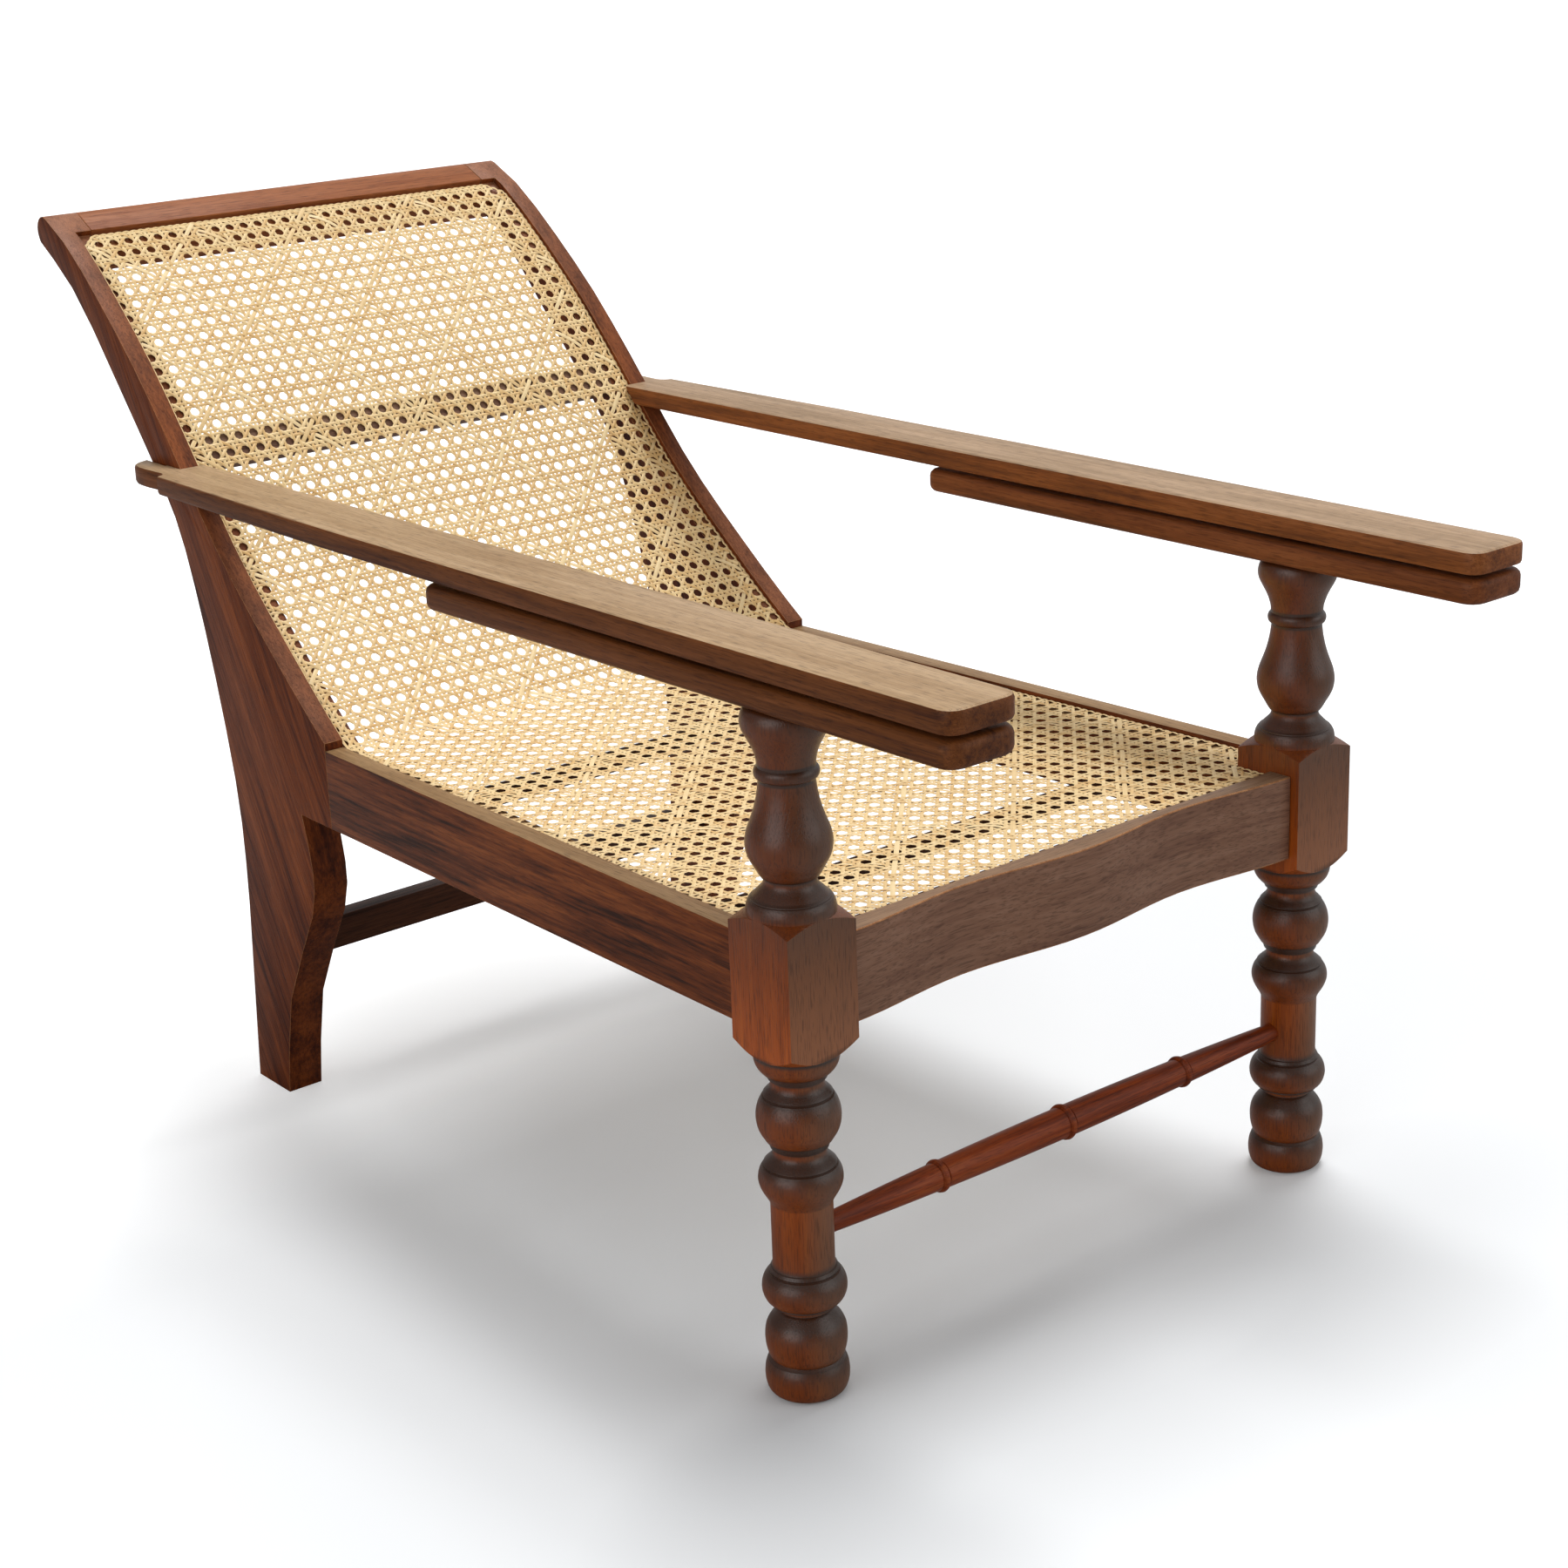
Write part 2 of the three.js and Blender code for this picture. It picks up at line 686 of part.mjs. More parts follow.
function armOutline() {
  const outline = [];
  const outerX = armInnerX + armWidth;
  const front = -armOverhang;
  roundCorner(outline, armInnerX + armCorner, front + armCorner, armCorner,
    Math.PI, 1.5 * Math.PI, cornerSteps);
  roundCorner(outline, outerX - armCorner, front + armCorner, armCorner,
    1.5 * Math.PI, 2 * Math.PI, cornerSteps);
  const notchY = armReach - 2 * tongueStep;
  const narrow = new THREE.SplineCurve([
    new THREE.Vector2(outerX, armReach * 0.4),
    new THREE.Vector2(outerX - armNarrowing * 0.25, armReach * 0.65),
    new THREE.Vector2(outerX - armNarrowing, notchY - tongueNotch),
  ]);
  outline.push(...narrow.getPoints(armSplineSteps));
  const lobeX = outerX - armNarrowing - tongueNotch;
  roundCorner(outline, outerX - armNarrowing, notchY, tongueNotch,
    1.5 * Math.PI, Math.PI, cornerSteps);
  const lobe = new THREE.SplineCurve([
    new THREE.Vector2(lobeX, notchY + tongueNotch * 0.5),
    new THREE.Vector2(lobeX + lobeBulge, armReach - tongueStep * 0.9),
    new THREE.Vector2(lobeX - tongueWidth * 0.25, armReach - tongueStep * 0.25),
    new THREE.Vector2(frameOuterX(armReach) + fit, armReach),
  ]);
  outline.push(...lobe.getPoints(armSplineSteps));
  outline.push(new THREE.Vector2(frameOuterX(armDowelY) + fit, armDowelY));
  outline.push(new THREE.Vector2(armInnerX, armDowelY));
  return outline;
}

function offsetOutline(outline, distance) {
  const count = outline.length;
  return outline.map((point, i) => {
    const before = outline[(i + count - 1) % count];
    const after = outline[(i + 1) % count];
    const along = after.clone().sub(before).normalize();
    const turn = THREE.ShapeUtils.isClockWise(outline) ? 1 : -1;
    return point.clone().add(new THREE.Vector2(-along.y, along.x).multiplyScalar(turn * distance));
  });
}

function arm() {
  const board = solidOf(extrudeUp(armOutline(), armUnderside, armTop, armEase));
  const stile = solidOf(inFrame(extrudeAcross(
    offsetOutline(plankOutline, fit), -armWidth - frameStock, fit,
  )));
  const socket = turned([
    [0, armUnderside - cutOverrun],
    [armTenonRadius + fit, armUnderside - cutOverrun],
    [armTenonRadius + fit, armUnderside + armTenonLength + fit],
    [0, armUnderside + armTenonLength + fit],
  ], legSegments).translate(legX, 0, 0);
  return board.subtract(stile).subtract(solidOf(socket)).subtract(armDowel(fit));
}

// A blind dowel pins the arm's tongue to the outer face of the stile
function armDowel(slack) {
  const radius = armDowelRadius + slack;
  const half = armDowelHalf + slack;
  const profile = [[0, -half], [radius, -half], [radius, half], [0, half]];
  const height = armTop - armThickness / 2;
  return solidOf(inFrame(turnedAcross(profile, rodSegments).translate(0, armDowelY, height)));
}

// Leg rest: a board under each arm that turns on the leg's spindle
const restEase = 6.5;
const restCorner = 16;

function legRest() {
  const outline = [];
  const inner = armInnerX + restCorner;
  const outer = armInnerX + armWidth - restCorner;
  const front = -armOverhang + restCorner;
  const rear = restReach - restCorner;
  roundCorner(outline, inner, front, restCorner, Math.PI, 1.5 * Math.PI, cornerSteps);
  roundCorner(outline, outer, front, restCorner, 1.5 * Math.PI, 2 * Math.PI, cornerSteps);
  roundCorner(outline, outer, rear, restCorner, 0, 0.5 * Math.PI, cornerSteps);
  roundCorner(outline, inner, rear, restCorner, 0.5 * Math.PI, Math.PI, cornerSteps);
  const top = restUnderside + restThickness;
  const bore = turned([
    [0, restUnderside - cutOverrun], [spindleRadius + fit, restUnderside - cutOverrun],
    [spindleRadius + fit, top + cutOverrun], [0, top + cutOverrun],
  ], legSegments).translate(legX, 0, 0);
  return solidOf(extrudeUp(outline, restUnderside, top, restEase, 3)).subtract(solidOf(bore));
}

// Cane nets that follow seat and back, laced on the ledges
function caneHalfWidth(y) {
  return frameOuterX(y) - faceWidth - fit;
}

function caneNet(along) {
  const across = netLines(caneColumns, 1, ledgeWidth / legSpacing);
  const columns = across.length;
  const rows = along.length;
  const positions = [];
  const bottomStart = columns * rows;
  for (const depth of [caneRecess, caneRecess + caneThickness]) {
    for (const distance of along) {
      const point = offsetFromEdge(distance, depth);
      const half = caneHalfWidth(point.x);
      for (const share of across) positions.push((2 * share - 1) * half, point.x, point.y);
    }
  }
  const faces = [];
  const quad = (a, b, c, d) => faces.push(a, b, c, a, c, d);
  const top = (i, j) => j * columns + i;
  const low = (i, j) => bottomStart + top(i, j);
  const filled = (i, j) => {
    const inside = i >= 0 && j >= 0 && i < columns - 1 && j < rows - 1;
    return inside && !(i % 2 === 1 && j % 2 === 1);
  };
  for (let j = 0; j < rows - 1; j += 1) {
    for (let i = 0; i < columns - 1; i += 1) {
      if (!filled(i, j)) continue;
      quad(top(i, j), top(i + 1, j), top(i + 1, j + 1), top(i, j + 1));
      quad(low(i, j), low(i, j + 1), low(i + 1, j + 1), low(i + 1, j));
      if (!filled(i, j - 1)) quad(low(i, j), low(i + 1, j), top(i + 1, j), top(i, j));
      if (!filled(i + 1, j)) quad(low(i + 1, j), low(i + 1, j + 1), top(i + 1, j + 1), top(i + 1, j));
      if (!filled(i, j + 1)) quad(low(i + 1, j + 1), low(i, j + 1), top(i, j + 1), top(i + 1, j + 1));
      if (!filled(i - 1, j)) quad(low(i, j + 1), low(i, j), top(i, j), top(i, j + 1));
    }
  }
  const geometry = new THREE.BufferGeometry();
  geometry.setAttribute('position', new THREE.Float32BufferAttribute(positions, 3));
  geometry.setIndex(faces);
  const block = boxBetween(
    legX - legStock / 2 - fit, legSpacing,
    -legStock, legStock / 2 + fit,
    railUnderside, blockTop,
  );
  return solidOf(geometry).subtract(solidOf(block)).subtract(mirroredSolid(block));
}

// Binding cane: a flat strip over each laced edge of the panel
const bindingWidth = 5;
const bindingThickness = 1.2;
const bindingUnderside = caneRecess - fit;
const bindingTop = bindingUnderside - bindingThickness;

function sideBinding() {
  const from = legStock / 2 - caneFrontY + fit;
  const to = caneLength - bindingWidth - 2 * fit;
  const between = caneLines.filter((line) => line > from + fit && line < to - fit);
  const outline = stripOutline([from, ...between, to], bindingTop, bindingUnderside);
  return solidOf(inFrame(extrudeAcross(
    outline, -faceWidth - fit - bindingWidth, -faceWidth - fit,
  )));
}

function endBinding(from, half) {
  const outline = stripOutline([from, from + bindingWidth], bindingTop, bindingUnderside);
  return extrudeAcross(outline, -half, half);
}

addPair('front_leg', frontLeg(), walnut, legX);
addPair('side_rail', sideRail(), walnut);
addPair('back_plank', backPlank(), walnut);
addPiece('front_rail', geometryOf(frontRail()), walnut);
addPiece('top_rail', geometryOf(topRail()), walnut);
addPiece('back_rail', geometryOf(backRail()), walnut);
addPiece('rear_stretcher', geometryOf(rearStretcher()), walnut);
addPiece('front_stretcher', geometryOf(frontStretcher()), walnut, 0, 0, frontStretcherZ);
addPiece('seat_rod_front', seatRod(seatRodFrontY), walnut, 0, seatRodFrontY, seatRodZ);
addPiece('seat_rod_rear', seatRod(seatRodRearY), walnut, 0, seatRodRearY, seatRodZ);
addPair('arm', arm(), satinTop, legX, 0, armUnderside);
addPair('arm_dowel', armDowel(0), walnut);
addPair('leg_rest', legRest(), walnut, legX, 0, restUnderside);
addPiece('cane_seat', geometryOf(caneNet(seatLines)), straw);
addPiece('cane_back', geometryOf(caneNet(backLines)), straw);
addPair('cane_binding', sideBinding(), straw);
addPiece('cane_binding_front', endBinding(fit, legX - legStock / 2 - 2 * fit), straw);
addPiece(
  'cane_binding_top',
  endBinding(caneLength - fit - bindingWidth, caneHalfWidth(noseCentre.x) - fit),
  straw,
);

// The chair's own frame: origin on the floor, under the middle of its bounding box
const bounds = new THREE.Box3().setFromObject(chair);
chair.position.y = -(bounds.min.y + bounds.max.y) / 2;
chair.updateMatrixWorld(true);

export default chair;
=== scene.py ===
from math import cos, pi, radians, sin, sqrt

import bpy
import numpy as np
from mathutils import Matrix, Vector


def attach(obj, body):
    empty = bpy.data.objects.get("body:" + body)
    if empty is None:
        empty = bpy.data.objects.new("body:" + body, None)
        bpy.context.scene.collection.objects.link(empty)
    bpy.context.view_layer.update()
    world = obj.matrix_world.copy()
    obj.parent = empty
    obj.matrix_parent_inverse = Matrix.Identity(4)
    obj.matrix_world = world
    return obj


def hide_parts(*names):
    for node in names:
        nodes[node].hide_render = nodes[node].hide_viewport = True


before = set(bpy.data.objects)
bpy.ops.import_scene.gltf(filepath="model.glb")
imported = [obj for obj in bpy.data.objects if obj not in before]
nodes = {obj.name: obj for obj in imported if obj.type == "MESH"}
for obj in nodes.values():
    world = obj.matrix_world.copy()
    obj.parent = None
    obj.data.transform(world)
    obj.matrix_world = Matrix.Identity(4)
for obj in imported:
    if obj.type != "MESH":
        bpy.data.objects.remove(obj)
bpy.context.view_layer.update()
MM = 0.001


# Photograph's viewpoint. The camera was solved from the leg blocks, taken as squares, and from the
# turnings, taken as circles, with the legs' axes 600 mm apart. It stands in front and to the left
# of the chair, a little above it, and is rolled by two degrees.
camera_place = Vector((-1678.6, -2124.4, 1241.7)) * MM
camera_azimuth = radians(40.009)
camera_tilt = radians(18.526)
camera_roll = radians(-2.07)
camera_lens_mm = 67.59
camera_sensor_mm = 36
camera_reach_m = (0.05, 60)

ahead = Vector((sin(camera_azimuth) * cos(camera_tilt), cos(camera_azimuth) * cos(camera_tilt),
                -sin(camera_tilt)))
level_right = Vector((cos(camera_azimuth), -sin(camera_azimuth), 0))
level_up = level_right.cross(ahead)
view_right = level_right * cos(camera_roll) + level_up * sin(camera_roll)
view_up = level_up * cos(camera_roll) - level_right * sin(camera_roll)
bpy.ops.object.camera_add()
camera = bpy.context.object
camera.name = "photo_camera"
camera.data.lens = camera_lens_mm
camera.data.sensor_width = camera_sensor_mm
camera.data.clip_start, camera.data.clip_end = camera_reach_m
turn = Matrix((view_right, view_up, -ahead)).transposed()
camera.matrix_world = Matrix.Translation(camera_place) @ turn.to_4x4()
bpy.context.scene.camera = camera
bpy.context.scene.view_settings.view_transform = "Standard"


# Floor and lights. White studio paper under a softbox overhead, a little behind and to the right,
# and low fills from both sides. The paper is white to the camera and darker to the light that it
# sends back. A faint glow lifts it where the photograph's shadow is lighter, behind and all round.
def linear(code):
    """Linear colour of an sRGB hex code."""
    parts = [int(code[i:i + 2], 16) / 255 for i in (0, 2, 4)]
    return tuple(c / 12.92 if c <= 0.04045 else ((c + 0.055) / 1.055) ** 2.4 for c in parts) + (1,)


def node(tree, kind, links=None, **settings):
    """Adds a node. Links name an input and give it a value or another node's output."""
    made = tree.nodes.new(kind)
    for key, value in settings.items():
        setattr(made, key, value)
    for key, value in (links or {}).items():
        socket = next(s for i, s in enumerate(made.inputs) if s.enabled and key in (i, s.name))
        if isinstance(value, bpy.types.NodeSocket):
            tree.links.new(value, socket)
        else:
            socket.default_value = value
    return made


def out(made, name):
    """The output of that name that a node has in use."""
    return next(s for s in made.outputs if s.enabled and s.name == name)


def deselect():
    bpy.ops.object.select_all(action="DESELECT")


floor_white = (0.745, 0.76, 0.775, 1)
floor_grey_to_the_chair = 0.4
floor_size = 60
# Painted shadow on the paper: spots under the seat, before the front legs and under the rear
# stretcher, in metres: the middle, the turn and the half-sizes of each, where its fade begins and
# ends in half-sizes, and the glow that it adds in its middle and outside. Less glow, or a negative
# one, paints shadow there.
painted_shadow_spots = (((0.15, 0.25, 0), radians(50), (0.65, 0.17, 1), 0.8, 2.6, 0.05, 0.17),
                ((-0.02, -0.63, 0), 0, (0.36, 0.13, 1), 0.5, 1.7, -0.17, 0),
                ((-0.1, 0.31, 0), 0, (0.3, 0.04, 1), 0.3, 1.4, -0.1, 0))
# Painted light: a glow that rises towards the back lifts the paper and the chair's shadow there.
glow_behind = 0.36
glow_behind_from = 0.03
glow_behind_to = 0.42

deselect()
bpy.ops.mesh.primitive_plane_add(size=floor_size, location=(0, 0, 0))
floor = bpy.context.object
floor.name = "studio_floor"
floor_paint = bpy.data.materials.new("white_studio_paper")
floor_paint.use_nodes = True
paper = floor_paint.node_tree
paper.nodes.clear()
ray = node(paper, "ShaderNodeLightPath")
spot = node(paper, "ShaderNodeTexCoord")
across = node(paper, "ShaderNodeSeparateXYZ", {"Vector": spot.outputs["Object"]})
lit = node(paper, "ShaderNodeMapRange", {"Value": across.outputs["Y"],
                                         "From Min": glow_behind_from,
                                         "From Max": glow_behind_to, "To Max": glow_behind},
           interpolation_type="SMOOTHSTEP")
for middle, turned_by, half_sizes, begins, ends, inside, outside in painted_shadow_spots:
    under = node(paper, "ShaderNodeMapping", {"Vector": spot.outputs["Object"]},
                 vector_type="TEXTURE")
    under.inputs["Location"].default_value = middle
    under.inputs["Rotation"].default_value = (0, 0, turned_by)
    under.inputs["Scale"].default_value = half_sizes
    away = node(paper, "ShaderNodeVectorMath", {0: under.outputs[0]}, operation="LENGTH")
    fade = node(paper, "ShaderNodeMapRange", {"Value": away.outputs["Value"],
                                              "From Min": begins, "From Max": ends,
                                              "To Min": inside, "To Max": outside})
    lit = node(paper, "ShaderNodeMath", {0: lit.outputs[0], 1: fade.outputs[0]}, operation="ADD")
lit = node(paper, "ShaderNodeMath", {0: lit.outputs[0], 1: 0.0}, operation="MAXIMUM")
white = node(paper, "ShaderNodeBsdfDiffuse", {"Color": floor_white})
glow = node(paper, "ShaderNodeEmission", {"Color": (1, 1, 1, 1), "Strength": lit.outputs[0]})
lifted = node(paper, "ShaderNodeAddShader", {0: white.outputs[0], 1: glow.outputs[0]})
grey = node(paper, "ShaderNodeBsdfDiffuse", {"Color": (floor_grey_to_the_chair,) * 3 + (1,)})
shown = node(paper, "ShaderNodeMixShader",
             {0: ray.outputs["Is Camera Ray"], 1: grey.outputs[0], 2: lifted.outputs[0]})
node(paper, "ShaderNodeOutputMaterial", {"Surface": shown.outputs[0]})
floor.data.materials.append(floor_paint)

# The studio round the chair: dim walls, a bright ceiling, and a white backdrop behind and to the
# right, whose sheen lies on the arm boards and down the right-hand side of each turning.
wall_glow = 0.17
ceiling_glow = 0.36
backdrop_glow = 0.45
backdrop_heading = (0.93, 0.35, 0.0)
backdrop_edge = 0.15
backdrop_middle = 0.95
ceiling_edge = 0.9
world = bpy.data.worlds.new("studio_room")
bpy.context.scene.world = world
world.use_nodes = True
sky = world.node_tree
sky.nodes.clear()
ray = node(sky, "ShaderNodeLightPath")
look = node(sky, "ShaderNodeTexCoord")
parts = node(sky, "ShaderNodeSeparateXYZ", {"Vector": look.outputs["Generated"]})
upward = node(sky, "ShaderNodeMapRange", {"Value": parts.outputs["Z"], "From Min": 0.0,
                                          "From Max": ceiling_edge, "To Min": wall_glow,
                                          "To Max": ceiling_glow})
facing = node(sky, "ShaderNodeVectorMath", {0: look.outputs["Generated"], 1: backdrop_heading},
              operation="DOT_PRODUCT")
behind = node(sky, "ShaderNodeMapRange", {"Value": facing.outputs["Value"],
                                          "From Min": backdrop_edge,
                                          "From Max": backdrop_middle,
                                          "To Max": backdrop_glow},
              interpolation_type="SMOOTHSTEP")
total = node(sky, "ShaderNodeMath", {0: upward.outputs[0], 1: behind.outputs[0]}, operation="ADD")
soft = node(sky, "ShaderNodeBackground", {"Color": (1, 1, 1, 1), "Strength": total.outputs[0]})
seen = node(sky, "ShaderNodeBackground", {"Color": (1, 1, 1, 1), "Strength": 1.0})
choice = node(sky, "ShaderNodeMixShader",
              {0: ray.outputs["Is Camera Ray"], 1: soft.outputs[0], 2: seen.outputs[0]})
node(sky, "ShaderNodeOutputWorld", {"Surface": choice.outputs[0]})

# Each lamp: its heading, how wide it is in degrees, and its strength.
lamps = {"overhead_softbox": ((-0.26, -0.2, -1.0), 26, 2.05),
         "low_fill_left": ((0.95, 0.12, -0.3), 50, 1.0),
         "front_fill_right": ((-0.5, 0.78, -0.42), 50, 0.65)}
lamp_height = 3
for lamp_name, (heading, spread, power) in lamps.items():
    bpy.ops.object.light_add(type="SUN", location=(0, 0, lamp_height))
    lamp = bpy.context.object
    lamp.name = lamp_name
    lamp.data.angle = radians(spread)
    lamp.data.energy = power
    lamp.rotation_euler = Vector(heading).to_track_quat("-Z", "Y").to_euler()


# Stained mahogany. A dark red-brown hardwood, planed or turned, stained and waxed: long dark
# streaks in orange-brown wood, fine dark pores, and a satin film that picks up the studio's light.
# Figure repeats at about 24 mm and streaks at about 3 mm across the grain. The pores are 0.3 mm
# wide in the real wood, and are drawn 1 mm wide so that they show.
figure_per_metre = 42.0
streaks_per_metre = 300.0
pore_mm = 1.0
figure_stretch = 0.07
streak_stretch = 0.03
pore_stretch = 0.06
streak_share = 0.4
stain_dark_at, stain_middle_at, stain_light_at = 0.38, 0.5, 0.64
# Painted light from above: where the paler pair of colours for faces that look up sits in the
# figure.
worn_dark_at, worn_light_at = 0.36, 0.62
pore_edge = (0.36, 0.46)
pore_colour = "1e0e08"
pore_fill = 0.64
pore_depth_mm = 0.4
# How far up a face looks where the painted light from above begins and where it is full.
worn_from, worn_to = 0.55, 0.95
# Painted sheen: faces toward the front light take a greyer colour, like that light's reflection in
# the film.
painted_sheen_heading = (0.6, -0.8, 0)
painted_sheen_from, painted_sheen_to, painted_sheen_most = 0.1, 0.8, 0.8
# Colour of the turnings' darkening: waxy dust in their hollows, and painted shade under their edges
# and under the block.
wax_and_shade_colour = "20140a"
polish_from, polish_to, polish_gain = 0.4, 0.9, 0.28
roughness_swing = 0.06


def mahogany(name, grain_turn, dark, middle, light, top=None, painted_sheen=None, roughness=0.42,
             film=0.14):
    """Wood whose grain runs along Z of its pattern after grain_turn. The colours are those of the
    stained wood, from dark streak to light. Faces that look up take the pair top, painted light
    from above, and those that look to the front take the greyer colour given for them, a painted
    sheen of the front light. The legs' darkening attribute darkens it and shines it: waxy dust in
    the hollows, and painted shade under the edges."""
    made = bpy.data.materials.new(name)
    made.use_nodes = True
    tree = made.node_tree
    shader = tree.nodes["Principled BSDF"]
    place = node(tree, "ShaderNodeTexCoord")
    along = node(tree, "ShaderNodeMapping", {"Vector": place.outputs["Object"]})
    along.inputs["Rotation"].default_value = grain_turn
    long = node(tree, "ShaderNodeMapping", {"Vector": along.outputs[0],
                                            "Scale": (1, 1, figure_stretch)})
    figure = node(tree, "ShaderNodeTexNoise", {"Vector": long.outputs[0],
                                               "Scale": figure_per_metre, "Detail": 5.0,
                                               "Roughness": 0.6, "Distortion": 0.5})
    thin = node(tree, "ShaderNodeMapping", {"Vector": along.outputs[0],
                                            "Scale": (1, 1, streak_stretch)})
    streak = node(tree, "ShaderNodeTexNoise", {"Vector": thin.outputs[0],
                                               "Scale": streaks_per_metre, "Detail": 3.0,
                                               "Roughness": 0.6})
    both = node(tree, "ShaderNodeMix", {"Factor": streak_share, "A": figure.outputs["Fac"],
                                        "B": streak.outputs["Fac"]}, data_type="FLOAT")
    ramp = node(tree, "ShaderNodeValToRGB", {"Fac": out(both, "Result")})
    ramp.color_ramp.elements[0].position = stain_dark_at
    ramp.color_ramp.elements[0].color = linear(dark)
    ramp.color_ramp.elements[1].position = stain_light_at
    ramp.color_ramp.elements[1].color = linear(light)
    ramp.color_ramp.elements.new(stain_middle_at).color = linear(middle)
    colour = ramp.outputs["Color"]
    short = node(tree, "ShaderNodeMapping", {"Vector": along.outputs[0],
                                             "Scale": (1, 1, pore_stretch)})
    pores = node(tree, "ShaderNodeTexNoise", {"Vector": short.outputs[0],
                                              "Scale": 1 / (pore_mm * MM), "Detail": 1.0,
                                              "Roughness": 0.5})
    cut = node(tree, "ShaderNodeMapRange", {"Value": pores.outputs["Fac"],
                                            "From Min": pore_edge[0], "From Max": pore_edge[1]})
    face = node(tree, "ShaderNodeNewGeometry")
    if top:
        # Painted light from above: faces that look up take the paler pair, top.
        worn_ramp = node(tree, "ShaderNodeValToRGB", {"Fac": out(both, "Result")})
        worn_ramp.color_ramp.elements[0].position = worn_dark_at
        worn_ramp.color_ramp.elements[0].color = linear(top[0])
        worn_ramp.color_ramp.elements[1].position = worn_light_at
        worn_ramp.color_ramp.elements[1].color = linear(top[1])
        split = node(tree, "ShaderNodeSeparateXYZ", {"Vector": face.outputs["Normal"]})
        upward = node(tree, "ShaderNodeMapRange", {"Value": split.outputs["Z"],
                                                   "From Min": worn_from,
                                                   "From Max": worn_to})
        worn = node(tree, "ShaderNodeMix", {"Factor": upward.outputs[0], "A": colour,
                                            "B": worn_ramp.outputs["Color"]}, data_type="RGBA")
        colour = out(worn, "Result")
    if painted_sheen:
        # Painted sheen: faces toward the front light are greyed, like that light's reflection in
        # the film.
        front = node(tree, "ShaderNodeVectorMath", {0: face.outputs["Normal"],
                                                    1: painted_sheen_heading}, operation="DOT_PRODUCT")
        cover = node(tree, "ShaderNodeMapRange", {"Value": front.outputs["Value"],
                                                  "From Min": painted_sheen_from,
                                                  "From Max": painted_sheen_to, "To Max": painted_sheen_most})
        painted_sheen_mix = node(tree, "ShaderNodeMix", {"Factor": cover.outputs[0], "A": colour,
                                             "B": linear(painted_sheen)}, data_type="RGBA")
        colour = out(painted_sheen_mix, "Result")
    filled = node(tree, "ShaderNodeMapRange", {"Value": cut.outputs[0], "To Min": pore_fill})
    pored = node(tree, "ShaderNodeMix", {"Factor": filled.outputs[0], "A": linear(pore_colour),
                                         "B": colour}, data_type="RGBA")
    # This attribute carries waxy dust in the turnings' hollows and painted shade under their edges.
    wax_and_shade = node(tree, "ShaderNodeAttribute", attribute_name="wax_and_painted_shade")
    waxed = node(tree, "ShaderNodeMix", {"Factor": wax_and_shade.outputs["Fac"], "A": out(pored, "Result"),
                                         "B": linear(wax_and_shade_colour)}, data_type="RGBA")
    tree.links.new(out(waxed, "Result"), shader.inputs["Base Color"])
    shine = node(tree, "ShaderNodeMapRange", {"Value": out(both, "Result"), "From Min": 0.3,
                                              "From Max": 0.7,
                                              "To Min": roughness + roughness_swing,
                                              "To Max": roughness - roughness_swing})
    tree.links.new(shine.outputs[0], shader.inputs["Roughness"])
    polish = node(tree, "ShaderNodeMapRange", {"Value": wax_and_shade.outputs["Fac"],
                                               "From Min": polish_from,
                                               "From Max": polish_to, "To Min": film,
                                               "To Max": film + polish_gain})
    tree.links.new(polish.outputs[0], shader.inputs["Specular IOR Level"])
    relief = node(tree, "ShaderNodeBump", {"Strength": 0.25,
                                           "Distance": pore_depth_mm * MM,
                                           "Height": cut.outputs[0]})
    tree.links.new(relief.outputs[0], shader.inputs["Normal"])
    return made


upright = (0, 0, 0)
lengthwise_grain = (pi / 2, 0, 0)
crosswise_grain = (0, pi / 2, 0)
leaning_grain = (radians(28), 0, 0)
# The turnings' greyer front colour is a painted sheen of the front light on their front faces.
turned_wood = mahogany("turned_mahogany", upright, "984612", "a94f15", "b65c1a", painted_sheen="8f6448",
                       roughness=0.34, film=0.26)
# Here and below, the second pair, top, is painted light from above on the faces that look up.
rail_wood = mahogany("rail_mahogany", lengthwise_grain, "341608", "6a3212", "924e20",
                     top=("8a6844", "ae8c64"))
# The front and rear seat rails take a greyer copy of the rail wood, a painted sheen of the front
# light on their faces.
front_wood = mahogany("front_rail_mahogany", crosswise_grain, "725040", "84604c", "906c58",
                      top=("7e6048", "9a7a5e"))
# The head rail takes a brighter copy of the rail wood, painted light from above on its face, which
# looks up.
top_wood = mahogany("top_rail_mahogany", crosswise_grain, "884a26", "9c5c34", "ac6a40")
arm_wood_left = mahogany("arm_mahogany_left", lengthwise_grain, "4a2614", "683a1a", "7c4826",
                         top=("9c7c58", "c0a17d"))
arm_wood_right = mahogany("arm_mahogany_right", lengthwise_grain, "5e341c", "824a24", "985c32",
                          top=("967a5c", "bc9c7c"))
rest_wood_left = mahogany("leg_rest_mahogany_left", lengthwise_grain, "4a2614", "683a1a",
                          "7c4826")
rest_wood_right = mahogany("leg_rest_mahogany_right", lengthwise_grain, "583018", "743f20",
                           "884f2b")
stretcher_wood = mahogany("stretcher_mahogany", crosswise_grain, "5e2208", "84360f", "9a4a1c",
                          roughness=0.36, film=0.18)
rod_wood = mahogany("rod_mahogany", crosswise_grain, "2a140c", "4a2a1b", "5e3924")
plank_wood = mahogany("plank_mahogany", leaning_grain, "42190a", "6c3212", "8a461c",
                      top=("84543a", "a87050"))
# A paler wood for the eased edges of rails and planks, a light line along each arris.
worn_wood = mahogany("worn_arris_mahogany", lengthwise_grain, "8a5a36", "a5714a", "bd8a5e")


